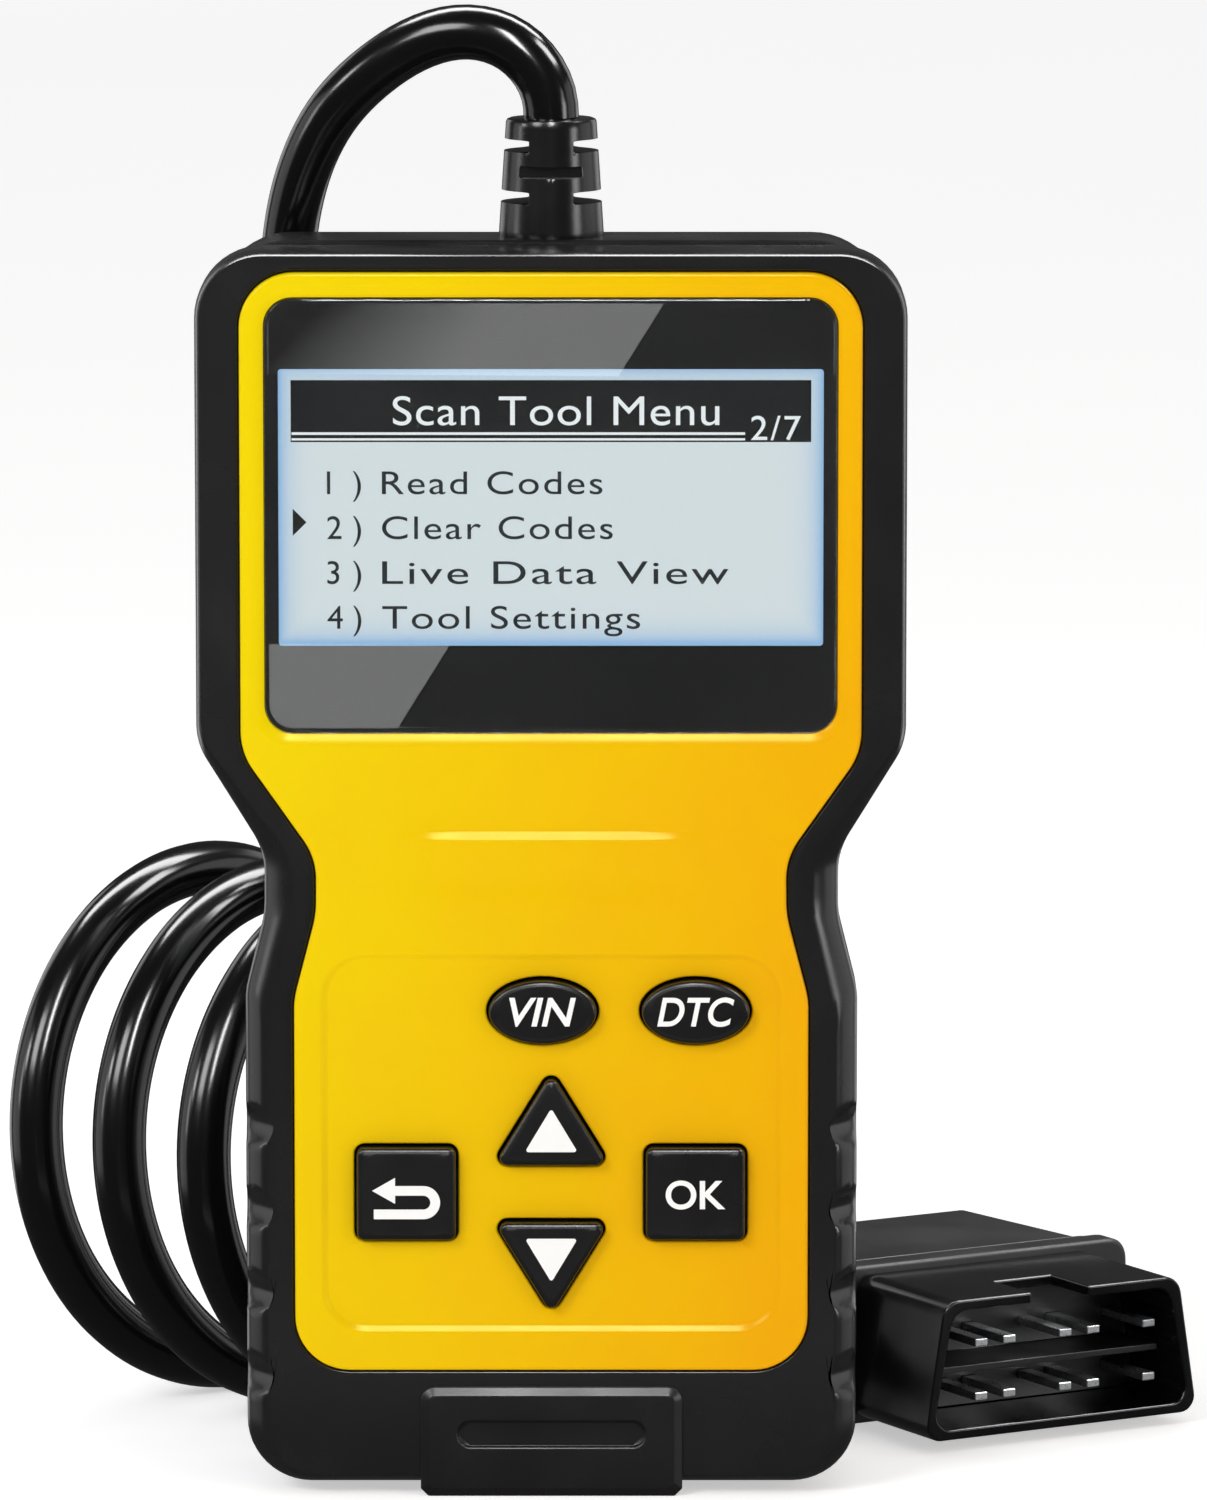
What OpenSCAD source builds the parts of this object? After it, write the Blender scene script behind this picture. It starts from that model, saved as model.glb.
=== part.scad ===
// Handheld vehicle code reader with six keys, a standing coil of cord and a 16-way diagnostic plug.
// The origin is under the middle of the case, +Z is up and the screen faces -Y.

/* [Case] */
// Half width of the case beside the screen
case_upper_half = 41.5; // [40:0.5:44]
// Half width of the case beside the keys
case_lower_half = 35.9; // [35.5:0.1:37]
// Height of the front rim above the surface it stands on
case_top = 147; // [147:0.5:150]
// Front face of the rim, which faces -Y
rim_front = -11.2; // [-11.4:0.1:-11]
// Rear face of the case
case_back = 13; // [12.5:0.5:15]
// Thickness of the case walls
wall = 2.2; // [1.8:0.1:2.6]

/* [Screen] */
// Half width of the screen window
lens_half = 33.3; // [32:0.1:34]
// Bottom of the screen window
lens_low = 90.7; // [90.5:0.1:92]
// Top of the screen window
lens_high = 141.6; // [140:0.1:142]
// Half width of the part of the display that shows
view_half = 31.7; // [30:0.1:32]
// Bottom of the part of the display that shows
view_low = 100.9; // [100.5:0.1:102]
// Top of the part of the display that shows
view_high = 133.3; // [132:0.1:134]

/* [Keys] */
// Distance that a key travels when it is pressed
key_travel = 0.8; // [0.5:0.1:0.9]
// Front of every key
key_front = -13; // [-13.4:0.1:-12.8]
// Gap between a key and the hole that it moves in
key_gap = 0.3; // [0.2:0.05:0.4]

/* [Cord and plug] */
// Diameter of the cord
cord_d = 6.5; // [6:0.1:7]
// Radius of the cord's standing turns, to the middle of the cord
turn_r = 30.4; // [30:0.1:31]
// Distance between one turn and the next
turn_pitch = 15; // [14:0.5:16]
// Width of the plug's wide side
plug_wide = 39; // [38:0.5:40]
// Width of the plug's narrow side
plug_narrow = 33.5; // [32:0.5:34]
// Height of the plug's shroud
plug_h = 17; // [16.5:0.5:18]
// Angle that the plug is turned on the surface
plug_turn = 30; // [28:1:32]

/* [Hidden] */

arc_steps = 7;
fine = 48;
// slack that lets two cutting faces pass through each other
cut = 1;

// Depths, from the front to the back
seam_y = -2;
face_front = -11.7;
face_seat = -10.2;
wall_back = -8;
board_front = -3.6;
board_back = -2;
panel_floor = -11.3;
label_depth = 0.3;
label_at = [0, 74];
label_half = [22, 34];
label_gap = 0.2;

// Corner lists of the outlines: [x, z, corner radius] up the right side
rim_half = [[33.5, 2.4, 6], [33.5, 57.5, 14], [30.4, 70.5, 10], [30.5, 76, 7],
    [case_upper_half - 0.5, 90.1, 7], [case_upper_half - 0.5, case_top - 0.4, 7.5]];
side_half = [[case_lower_half, 1.2, 7.5], [case_lower_half, 59.8, 10], [33.6, 69, 14], [33.6, 76.3, 9],
    [case_upper_half, 89.1, 8], [case_upper_half, case_top, 8]];
rear_half = [[34.4, 1.6, 7], [34.4, 60.4, 12], [32.1, 69, 12], [32.1, 77, 9],
    [39.6, 89.8, 9], [39.6, case_top + 0.5, 9]];
front_room_half = [[32.6, 4.4, 5.5], [32.6, 60.6, 10], [30.4, 69, 12], [30.4, 77, 8],
    [38.2, 90.6, 8], [38.2, 144, 6]];
face_half = [[30.1, 15.1, 6.4], [30.1, 59.3, 10], [27.5, 69.3, 12], [27.45, 76, 8],
    [36.2, 88.4, 8], [36.2, 144.6, 6.4]];
board_half = [[30.5, 15, 3], [30.5, 60.5, 8], [28.2, 69, 10], [28.2, 78, 8],
    [36, 91, 6], [36, 135.2, 3]];

// Key places, [x, z], and half sizes
vin_at = [-1, 57.9];
dtc_at = [16.9, 57.9];
oval_half = [6.3, 3.75];
ok_at = [16.9, 36.3];
back_at = [-17, 36.3];
square_half = [5.8, 5.5];
square_radius = 0.75;
up_at = [0, 39.7];
down_at = [0, 32.9];
arrow_half = 6.75;
arrow_tall = 11;
key_back = -7.3;
sheet_front = key_back + key_travel + key_gap;

// Grip notches: radius, height of the lowest and distance between them
notch_r = 2.5;
notch_low = 14.3;
notch_pitch = 9.9;

// Screws: [x, z]
case_screw_at = [[-30.5, 138.9], [30.5, 138.9], [-24.5, 10.5], [24.5, 10.5]];
board_screw_at = [[-31, 93], [31, 93], [-26.6, 18.6], [26.6, 18.6]];

// Cord outlet on the top of the case
outlet_y = 5;
relief_low = case_top + 0.5;
relief_high = 161.3;

// Plug: the middle of its front edge, the raise of its shroud and its lengths
plug_at = [61.6, 21, 0];
shroud_up = 1.5;
shroud_long = 20;
hood_long = 34;
flange_long = 4;
boot_long = 14;
boot_z = 9.2;
pin_pitch = 4;
ways = [for (n = [-2.5, -1.5, 0.5, 1.5, 3.5]) n * pin_pitch];
row_z = [5.9, 12.5];
blade_half = [0.9, 0.5];
blade_start = 2.5;
insert_start = 12;
plug_screw_x = 10;
plug_screw_y = 33;
hood_wall = 2;
hood_seam = 9.5;

// Standing turns of the cord
turn_z = turn_r + cord_d / 2;
turn_start = [-14.9, 30];
turn_count = 3;
turn_steps = 15;

// Route of the cord up to the turns, chosen by hand
lead_route = [
    [0, 5, 161.3], [-0.3, 5, 164], [-1.9, 5.2, 167.3], [-5.2, 5.8, 170.1], [-10, 6.8, 171.2],
    [-15.4, 8.2, 169.9], [-20.6, 10, 166.6], [-25.2, 12.2, 162], [-28.6, 14.8, 156], [-30.8, 17.4, 148],
    [-31.4, 19.4, 138], [-29.6, 22, 126], [-25, 26.2, 113], [-17.6, 32.4, 100], [-8.8, 39.4, 86],
    [-0.6, 45.6, 71], [4.8, 50, 56], [6.8, 51.6, 44]
];
// Route of the cord from the turns to the plug
tail_route = [
    [-24.6, 84.6, 22], [-20.4, 86.4, 12], [-12.6, 88.4, 5.8], [-3.6, 89.6, 3.8], [3.6, 90.2, 3.6],
    [10.4, 90, 4.4], [16.5, 88.9, 6.2], [22.9, 85.4, 8.4]
];

function unit(v) = v / norm(v);
function swing(a, b) = (b - a + 540) % 360 - 180;
function mix(a, b, t) = [for (i = [0:len(a) - 1]) a[i] * (1 - t) + b[i] * t];
function both_sides(half) =
    concat(half, [for (i = [len(half) - 1:-1:0]) [-half[i][0], half[i][1], half[i][2]]]);
function arc_at(b, u, v, r, n) =
    let (half_angle = acos(u * v) / 2,
        centre = b + unit(u + v) * r / sin(half_angle),
        p = b + u * r / tan(half_angle) - centre,
        q = b + v * r / tan(half_angle) - centre,
        a0 = atan2(p[1], p[0]),
        da = swing(a0, atan2(q[1], q[0])))
    [for (i = [0:n]) centre + r * [cos(a0 + da * i / n), sin(a0 + da * i / n)]];
// A closed outline from its corners, each with its own radius
function rounded(c, n = arc_steps) =
    [for (i = [0:len(c) - 1])
        let (a = c[(i + len(c) - 1) % len(c)], b = c[i], d = c[(i + 1) % len(c)],
            at = [b[0], b[1]])
        each arc_at(at, unit([a[0], a[1]] - at), unit([d[0], d[1]] - at), b[2], n)];
// Corners moved inwards by d, with their radii made smaller to suit
function inset(half, d) =
    [for (i = [0:len(half) - 1])
        [half[i][0] - d, half[i][1] + (i == 0 ? d : i == len(half) - 1 ? -d : 0),
            max(1, half[i][2] + (half[i][2] < 9 ? -d : 0))]];
function oval(at, half) =
    [for (i = [0:35]) [at[0] + half[0] * cos(10 * i), at[1] + half[1] * sin(10 * i)]];
function box_outline(at, half, r) = rounded([[at[0] + half[0], at[1] - half[1], r],
    [at[0] + half[0], at[1] + half[1], r], [at[0] - half[0], at[1] + half[1], r],
    [at[0] - half[0], at[1] - half[1], r]]);
// A rounded triangle with its base at "at" that points up (way = 1) or down (way = -1)
function arrow(at, way, grow = 0) = rounded([[at[0] - arrow_half - 1.9 * grow, at[1] - way * grow, 0.9],
    [at[0] + arrow_half + 1.9 * grow, at[1] - way * grow, 0.9],
    [at[0], at[1] + way * (arrow_tall + 1.9 * grow), 0.9]]);

// A flat piece with its outline in XZ, from depth y0 to depth y1
module slab(y0, y1) {
    translate([0, y1, 0]) rotate([90, 0, 0]) linear_extrude(y1 - y0) children();
}
module outline_slab(outline, y0, y1) {
    slab(y0, y1) polygon(outline);
}
// A box given by its lowest and highest corners
module block(low, high) {
    translate(low) cube(high - low);
}
// A round bar along Y
module bar_y(x, z, r, y0, y1) {
    translate([x, y1, z]) rotate([90, 0, 0]) cylinder(r = r, h = y1 - y0, $fn = fine);
}
// A round bar between any two points
module rod(p, q, r) {
    d = q - p;
    translate(p) rotate([0, acos(d[2] / norm(d)), atan2(d[1], d[0])])
        cylinder(r = r, h = norm(d), $fn = 24);
}
// A skin through outlines of equal length, each at its own depth: [[outline, y], ...]
module loft(sections) {
    n = len(sections[0][0]);
    last = len(sections) - 1;
    points = [for (s = sections) for (p = s[0]) [p[0], s[1], p[1]]];
    walls = [for (k = [0:last - 1]) for (i = [0:n - 1])
        [k * n + i, k * n + (i + 1) % n, (k + 1) * n + (i + 1) % n, (k + 1) * n + i]];
    front = [for (i = [n - 1:-1:0]) i];
    back = [for (i = [0:n - 1]) last * n + i];
    polyhedron(points = points, faces = concat([front], walls, [back]), convexity = 6);
}
module body_loft(steps) {
    loft([for (s = steps) [rounded(both_sides(s[0])), s[1]]]);
}
module key_holes(y0, y1, gap) {
    outline_slab(oval(vin_at, oval_half + [gap, gap]), y0, y1);
    outline_slab(oval(dtc_at, oval_half + [gap, gap]), y0, y1);
    outline_slab(box_outline(ok_at, square_half + [gap, gap], square_radius + gap), y0, y1);
    outline_slab(box_outline(back_at, square_half + [gap, gap], square_radius + gap), y0, y1);
    outline_slab(arrow(up_at, 1, gap), y0, y1);
    outline_slab(arrow(down_at, -1, gap), y0, y1);
}
module screw(x, z, head_y, r, head_r, head_h, long) {
    bar_y(x, z, head_r, head_y, head_y + head_h);
    bar_y(x, z, r, head_y - long, head_y);
}

// Case
module grip_notch(side, z) {
    rod([side * 34.4, -13, z], [side * 40.4, -4, z], notch_r);
}
module front_housing() {
    notch_z = [for (i = [0:3]) notch_low + notch_pitch * i];
    color("#1b1b1c") union() {
        difference() {
            body_loft([[rim_half, rim_front], [mix(rim_half, side_half, 0.55), rim_front + 1.2],
                [mix(rim_half, side_half, 0.9), -8.9], [side_half, -7.6], [side_half, seam_y]]);
            body_loft([[front_room_half, wall_back], [front_room_half, seam_y + cut]]);
            outline_slab(rounded(both_sides(inset(face_half, -0.2))), rim_front - cut, face_seat);
            block([-view_half - 0.7, face_seat - cut, view_low - 0.7],
                [view_half + 0.7, wall_back + cut, view_high + 0.7]);
            key_holes(face_seat - cut, wall_back + cut, key_gap);
            for (side = [-1, 1]) for (z = notch_z) grip_notch(side, z);
        }
        for (p = case_screw_at) difference() {
            bar_y(p[0], p[1], 3.2, wall_back - 0.2, seam_y);
            bar_y(p[0], p[1], 1.25, -7.4, seam_y + cut);
        }
        for (p = board_screw_at) difference() {
            bar_y(p[0], p[1], 2.2, wall_back - 0.2, board_front);
            bar_y(p[0], p[1], 1.05, -7.4, board_front + cut);
        }
    }
}
// The room inside the rear housing, with a flat floor
module rear_room() {
    intersection() {
        body_loft([[inset(rear_half, wall), seam_y - 2 * cut], [inset(rear_half, wall), 8.6],
            [inset(rear_half, 4.4), case_back - wall], [inset(rear_half, 4.4), case_back - wall + cut]]);
        block([-60, seam_y - 3 * cut, -5], [60, case_back - wall, case_top + 10]);
    }
}
module rear_housing() {
    color("#1b1b1c") difference() {
        union() {
            difference() {
                body_loft([[rear_half, seam_y - cut], [rear_half, 9], [inset(rear_half, 0.8), 11],
                    [inset(rear_half, 2), case_back - 0.7], [inset(rear_half, 3.5), case_back],
                    [inset(rear_half, 3.5), case_back + cut]]);
                rear_room();
            }
            for (p = case_screw_at) bar_y(p[0], p[1], 3.9, seam_y - cut, case_back - 1.6);
        }
        for (p = case_screw_at) {
            bar_y(p[0], p[1], 1.35, seam_y - 2 * cut, 5);
            bar_y(p[0], p[1], 2.9, 4, case_back + 2 * cut);
        }
        translate([0, outlet_y, 140]) cylinder(r = 4.7, h = 10, $fn = fine);
        outline_slab(box_outline(label_at, label_half + [label_gap, label_gap], 2.2), case_back - label_depth,
            case_back + 2 * cut);
        block([-60, seam_y - 20, -5], [60, seam_y, case_top + 10]);
        block([-60, case_back, -5], [60, case_back + 20, case_top + 10]);
    }
}
module faceplate() {
    color("#f5c400") difference() {
        outline_slab(rounded(both_sides(face_half)), face_front, face_seat);
        outline_slab(box_outline([0, (lens_low + lens_high) / 2],
            [lens_half + 0.1, (lens_high - lens_low) / 2 + 0.1], 3.4), face_front - cut, face_seat + cut);
        outline_slab(box_outline([0, 42.2], [26.6, 22.1], 4.8), face_front - cut, panel_floor);
        key_holes(face_front - cut, face_seat + cut, key_gap);
    }
}
module bottom_cap() {
    half = 15.4;
    tall = 13.1;
    low_y = rim_front - 0.8;
    color("#202021") difference() {
        translate([-half, 0, 0]) rotate([90, 0, 90]) linear_extrude(2 * half)
            polygon([[low_y + 0.8, 0], [9, 0], [9, 1.15], [-7.6, 1.15], [-9, 1.3], [-10.1, 1.75],
                [rim_front - 0.05, 2.35], [rim_front - 0.05, tall], [low_y, tall], [low_y, 0.8]]);
        outline_slab(box_outline([0, 7.5], [11, 1.45], 1.4), low_y - cut, low_y + 0.5);
        for (side = [-1, 1]) translate([side * half, low_y, tall]) rotate([0, 45, 0])
            cube([2.2, 4, 2.2], center = true);
    }
}
module rear_label() {
    color("#c9ccd0") outline_slab(box_outline(label_at, label_half, 2), case_back - label_depth,
        case_back - 0.05);
}
module case_screws() {
    color("#3a3b3e") for (p = case_screw_at) screw(p[0], p[1], 5, 1.2, 2.6, 1.9, 11);
}

// Screen
module lens_outline(y0, y1) {
    outline_slab(box_outline([0, (lens_low + lens_high) / 2],
        [lens_half, (lens_high - lens_low) / 2], 3.3), y0, y1);
}
module display_lens() {
    color("#3c4043") lens_outline(face_front + 0.1, face_seat - 0.3);
}
module lens_mask() {
    color("#101011") difference() {
        lens_outline(face_seat - 0.3, face_seat);
        block([-view_half, face_seat - cut, view_low], [view_half, face_seat + cut, view_high]);
    }
}
module lcd_glass() {
    color("#d8e4e8") block([-34, -7.9, 98.4], [34, -5.8, 134.6]);
}
module lcd_frame() {
    color("#b8bcc0") difference() {
        block([-35.2, -7.95, 97.4], [35.2, -3.9, 135.4]);
        block([-34.1, -9, 98.3], [34.1, -3, 134.7]);
    }
}
module lcd_backlight() {
    color("#eef2f4") block([-33.8, -5.7, 98.6], [33.8, -3.9, 134.4]);
}
module lcd_flex() {
    color("#b5702a") block([-9, -3.88, 99], [9, board_front - 0.02, 112]);
}

// Electronics
module main_board() {
    color("#1f6b3a") difference() {
        outline_slab(rounded(both_sides(board_half)), board_front, board_back);
        for (p = board_screw_at) bar_y(p[0], p[1], 1.2, board_front - cut, board_back + cut);
    }
}
module chip(x, z, w, h, tall) {
    block([x - w / 2, board_back, z - h / 2], [x + w / 2, board_back + tall, z + h / 2]);
    for (side = [-1, 1]) for (i = [-2:2])
        block([x + side * (w / 2 + 0.4) - 0.4, board_back, z + i * h / 6 - 0.25],
            [x + side * (w / 2 + 0.4) + 0.4, board_back + 0.4, z + i * h / 6 + 0.25]);
}
module microcontroller() {
    color("#26282b") chip(0, 62, 12, 12, 1.4);
}
module bus_transceivers() {
    color("#26282b") for (x = [-16, -6, 4]) chip(x, 98, 4, 5, 1.6);
}
module power_regulator() {
    color("#2b2d30") {
        block([16, board_back, 103], [22.6, board_back + 2.3, 109]);
        block([16.6, board_back, 109], [22, board_back + 0.6, 111.6]);
    }
}
module capacitors() {
    color("#9aa0a8") for (z = [99, 122]) bar_y(28, z, 3.2, board_back, board_back + 7);
}
module crystal() {
    color("#c4c8cc") outline_slab(box_outline([15, 62], [2.3, 5.5], 2.2), board_back, board_back + 3.5);
}
module buzzer() {
    color("#1c1d1f") difference() {
        bar_y(-17, 40, 4.75, board_back, board_back + 5);
        bar_y(-17, 40, 0.9, board_back + 3, board_back + 5 + cut);
    }
}
module cable_header() {
    color("#ece9df") difference() {
        block([-9, board_back, 112], [9, board_back + 6, 119]);
        block([-8, board_back + 1, 113.5], [8, board_back + 5, 119 + cut]);
    }
}
module inner_wires() {
    color("#c23b2e") for (i = [-2:2]) rod([i * 3, 1, 113.6], [i * 1.2, outlet_y, 128.1], 0.55);
}
module inner_cable() {
    color("#19191a") translate([0, outlet_y, 128.2]) cylinder(r = cord_d / 2, h = 12.6, $fn = fine);
}
module cable_clamp() {
    color("#d9d6cc") difference() {
        block([-8, 0.8, 131], [8, case_back - wall - 0.1, 136.5]);
        translate([0, outlet_y, 130]) cylinder(r = cord_d / 2 + 0.05, h = 8, $fn = fine);
    }
}
module keypad_sheet() {
    color("#4a4c50") outline_slab(box_outline([0, 43], [23.4, 22], 3), sheet_front, -4.7);
}
module switch_domes() {
    color("#d4d7da") for (p = [vin_at, dtc_at, ok_at, back_at, up_at + [0, 4.5], down_at - [0, 4.5]])
        bar_y(p[0], p[1], 2.6, board_front - 0.9, board_front);
}
module board_screws() {
    color("#b9bdc1") for (p = board_screw_at) screw(p[0], p[1], board_back, 1, 2, 1.3, 5.2);
}

// Keys
module vin_key() {
    color("#161617") outline_slab(oval(vin_at, oval_half), key_front, key_back);
}
module dtc_key() {
    color("#161617") outline_slab(oval(dtc_at, oval_half), key_front, key_back);
}
module up_key() {
    color("#161617") outline_slab(arrow(up_at, 1), key_front, key_back);
}
module down_key() {
    color("#161617") outline_slab(arrow(down_at, -1), key_front, key_back);
}
module ok_key() {
    color("#161617") outline_slab(box_outline(ok_at, square_half, square_radius), key_front, key_back);
}
module back_key() {
    color("#161617") outline_slab(box_outline(back_at, square_half, square_radius), key_front, key_back);
}

// Cord
module relief_slot(z, tall, from) {
    for (side = [-1, 1]) block([from[0] * side - 4, from[1], z], [from[0] * side + 4, from[2], z + tall]);
}
module strain_relief() {
    inner_low = 140.9;
    color("#18181a") translate([0, outlet_y, 0]) difference() {
        union() {
            translate([0, 0, relief_low])
                cylinder(r1 = 6.2, r2 = 5.3, h = relief_high - relief_low, $fn = fine);
            translate([0, 0, relief_low - 3]) cylinder(r = 4.6, h = 3.2, $fn = fine);
            translate([0, 0, inner_low]) cylinder(r = 5, h = 4.2, $fn = fine);
        }
        relief_slot(151.6, 1.2, [6.6, -8, 8]);
        relief_slot(157.6, 1.2, [6.6, -8, 8]);
        for (side = [-1, 1]) block([-8, side * 7.4 - 3, 154.6], [8, side * 7.4 + 3, 155.8]);
    }
}
function turn_point(i) =
    let (a = 360 * i / turn_steps, along = turn_pitch * i / turn_steps / sqrt(2),
        out = turn_r * cos(a) / sqrt(2))
    [turn_start[0] - along + out, turn_start[1] + along + out, turn_z - turn_r * sin(a)];
plug_axis = [sin(plug_turn), -cos(plug_turn), 0];
cord_end = plug_at + [0, 0, boot_z] - plug_axis * (shroud_long + hood_long + boot_long);
cord_route = concat(lead_route, [for (i = [0:turn_count * turn_steps]) turn_point(i)], tail_route,
    [cord_end]);
// Straight direction of the route at one of its points, from its neighbours
function heading(p, i) = i == 0 ? [0, 0, 1] : i == len(p) - 1 ? plug_axis : unit(p[i + 1] - p[i - 1]);
// A frame carried along the route without twisting
function carried(p, i, side) =
    let (t = heading(p, i), s = unit(side - t * (side * t)))
    i == len(p) - 1 ? [s] : concat([s], carried(p, i + 1, s));
module swept(p, r, sides) {
    across = carried(p, 0, [1, 0, 0]);
    points = [for (i = [0:len(p) - 1]) for (k = [0:sides - 1])
        let (t = heading(p, i), u = across[i], w = cross(t, u), a = 360 * k / sides)
        p[i] + r * (cos(a) * u + sin(a) * w)];
    walls = [for (i = [0:len(p) - 2]) for (k = [0:sides - 1])
        [i * sides + k, (i + 1) * sides + k, (i + 1) * sides + (k + 1) % sides, i * sides + (k + 1) % sides]];
    first = [for (k = [0:sides - 1]) k];
    final = [for (k = [sides - 1:-1:0]) (len(p) - 1) * sides + k];
    polyhedron(points = points, faces = concat([first], walls, [final]), convexity = 10);
}
module cord() {
    color("#0f0f10") swept(cord_route, cord_d / 2, 10);
}

// Plug, in its own frame: its mouth at y = 0 faces -Y and its body runs back along +Y
module plug_frame() {
    translate(plug_at) rotate([0, 0, plug_turn]) children();
}
function shroud_outline(d) = rounded([[plug_wide / 2 - d, shroud_up + d, 2],
    [plug_narrow / 2 - d, shroud_up + plug_h - d, 2.4],
    [d - plug_narrow / 2, shroud_up + plug_h - d, 2.4], [d - plug_wide / 2, shroud_up + d, 2]]);
module plug_shroud() {
    color("#131314") plug_frame() difference() {
        outline_slab(shroud_outline(0), 0, shroud_long);
        outline_slab(shroud_outline(1.3), -cut, shroud_long + cut);
        block([-4.4, -cut, shroud_up + plug_h - 2], [3.6, 8.5, shroud_up + plug_h + cut]);
    }
}
module blades(y0, y1) {
    for (x = ways) for (z = row_z)
        block([x - blade_half[0], y0, z - blade_half[1]], [x + blade_half[0], y1, z + blade_half[1]]);
}
module plug_insert() {
    color("#1b1b1c") plug_frame() {
        difference() {
            outline_slab(shroud_outline(1.35), insert_start, shroud_long);
            blades(insert_start - cut, shroud_long + cut);
        }
        block([-16.8, 3.4, 8.9], [15.8, insert_start, 9.7]);
    }
}
module plug_pins() {
    color("#c9ccd0") plug_frame() blades(blade_start, shroud_long + 2);
}
// Cross-section of the hood, drawn in XZ: [x, z, corner radius] corners
function hood_outline(wide, narrow, low, high) = rounded([[wide / 2, low, 2.5], [narrow / 2, high, 2.5],
    [-narrow / 2, high, 2.5], [-wide / 2, low, 2.5]]);
// Hood sections: [wide, narrow, bottom, top, place along the plug]
hood_sections = [[46, 44, 0, 19.5, shroud_long], [46, 44, 0, 19.5, shroud_long + flange_long],
    [41, 38, 0.6, 19.3, shroud_long + flange_long + 0.6], [38, 35, 0.8, 19, 48],
    [20, 18, 2, 16.6, shroud_long + hood_long]];
module hood_skin(d) {
    last = len(hood_sections) - 1;
    loft([for (i = [0:last]) let (h = hood_sections[i],
            shift = d == 0 ? 0 : i == 0 ? -cut : i == last ? -d : 0)
        [hood_outline(h[0] - 2 * d, h[1] - 2 * d, h[2] + d, h[3] - d), h[4] + shift]]);
}
module hood_half(low, high) {
    color("#161617") plug_frame() difference() {
        hood_skin(0);
        hood_skin(hood_wall);
        block([-30, shroud_long - cut, low], [30, shroud_long + hood_long + cut, high]);
        translate([0, shroud_long + hood_long - 3, boot_z]) rotate([-90, 0, 0])
            cylinder(r = 3.4, h = 5, $fn = fine);
    }
}
// A post or a bore for each of the plug's two screws
module at_plug_screws(z, r, tall) {
    for (side = [-1, 1]) translate([side * plug_screw_x, plug_screw_y, z])
        cylinder(r = r, h = tall, $fn = fine);
}
module plug_hood_top() {
    hood_half(-cut, hood_seam);
    color("#161617") plug_frame() difference() {
        at_plug_screws(hood_seam, 2.2, 8.4);
        at_plug_screws(hood_seam - cut, 1.05, 6.5);
    }
}
module plug_hood_bottom() {
    color("#161617") difference() {
        union() {
            hood_half(hood_seam, 21);
            plug_frame() at_plug_screws(1.4, 2.8, 8.1);
        }
        plug_frame() {
            at_plug_screws(-cut, 1.15, 12);
            at_plug_screws(-cut, 2.2, 4);
        }
    }
}
module plug_screws() {
    color("#b9bdc1") plug_frame() {
        at_plug_screws(1.6, 2, 1.4);
        at_plug_screws(3, 1, 10.6);
    }
}
module plug_boot() {
    start = shroud_long + hood_long;
    color("#18181a") plug_frame() translate([0, start, boot_z]) rotate([-90, 0, 0]) {
        cylinder(r1 = 5.4, r2 = 4.4, h = boot_long, $fn = fine);
        translate([0, 0, -2]) cylinder(r = 3.3, h = 2, $fn = fine);
        translate([0, 0, -5]) cylinder(r = 4.6, h = 3, $fn = fine);
    }
}

front_housing();
rear_housing();
faceplate();
display_lens();
lens_mask();
lcd_glass();
lcd_frame();
lcd_backlight();
lcd_flex();
main_board();
microcontroller();
bus_transceivers();
power_regulator();
capacitors();
crystal();
buzzer();
cable_header();
inner_wires();
inner_cable();
cable_clamp();
keypad_sheet();
switch_domes();
board_screws();
case_screws();
bottom_cap();
rear_label();
strain_relief();
vin_key();
dtc_key();
up_key();
down_key();
ok_key();
back_key();
cord();
plug_shroud();
plug_insert();
plug_pins();
plug_hood_top();
plug_hood_bottom();
plug_boot();
plug_screws();
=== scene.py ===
# %% [markdown]
# # A handheld code reader, built around its CAD frame
# The imported CAD model gives every place and size. This script keeps that frame and makes the pieces
# that the eye sees: the moulded shells, the window and display, the keys, the cord and the plug.
# The first cell loads the frame.

# %% Load the frame
import math

import bmesh
import bpy
import numpy as np
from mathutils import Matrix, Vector
from mathutils.geometry import delaunay_2d_cdt


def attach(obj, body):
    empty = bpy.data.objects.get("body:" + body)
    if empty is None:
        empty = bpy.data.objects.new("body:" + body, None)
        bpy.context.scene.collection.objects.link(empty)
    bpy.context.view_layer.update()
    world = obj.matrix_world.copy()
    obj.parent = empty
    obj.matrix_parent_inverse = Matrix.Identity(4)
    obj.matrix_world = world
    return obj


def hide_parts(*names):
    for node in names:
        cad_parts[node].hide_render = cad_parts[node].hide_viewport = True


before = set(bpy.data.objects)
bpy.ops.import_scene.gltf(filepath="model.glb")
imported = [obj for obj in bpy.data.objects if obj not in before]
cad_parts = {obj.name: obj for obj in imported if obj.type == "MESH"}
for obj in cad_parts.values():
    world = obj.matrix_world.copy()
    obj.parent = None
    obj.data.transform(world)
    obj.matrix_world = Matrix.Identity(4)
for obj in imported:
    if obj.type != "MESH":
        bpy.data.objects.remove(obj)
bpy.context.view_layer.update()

MM = 0.001

# %% [markdown]
# ## Camera
# A hand tool is best shown from straight ahead and a little above, so that its face is square and its
# top edge just shows. A long lens does this without stretching the near parts. A short lens close by
# would also fit it in, but then the plug would look too big. The lens is chosen long and the distance
# is set to suit.

# %% Camera
scene = bpy.context.scene
aim = np.array([6.12, -12.0, 88.82])
camera_rise = math.radians(8)
camera_away = 1200

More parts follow.
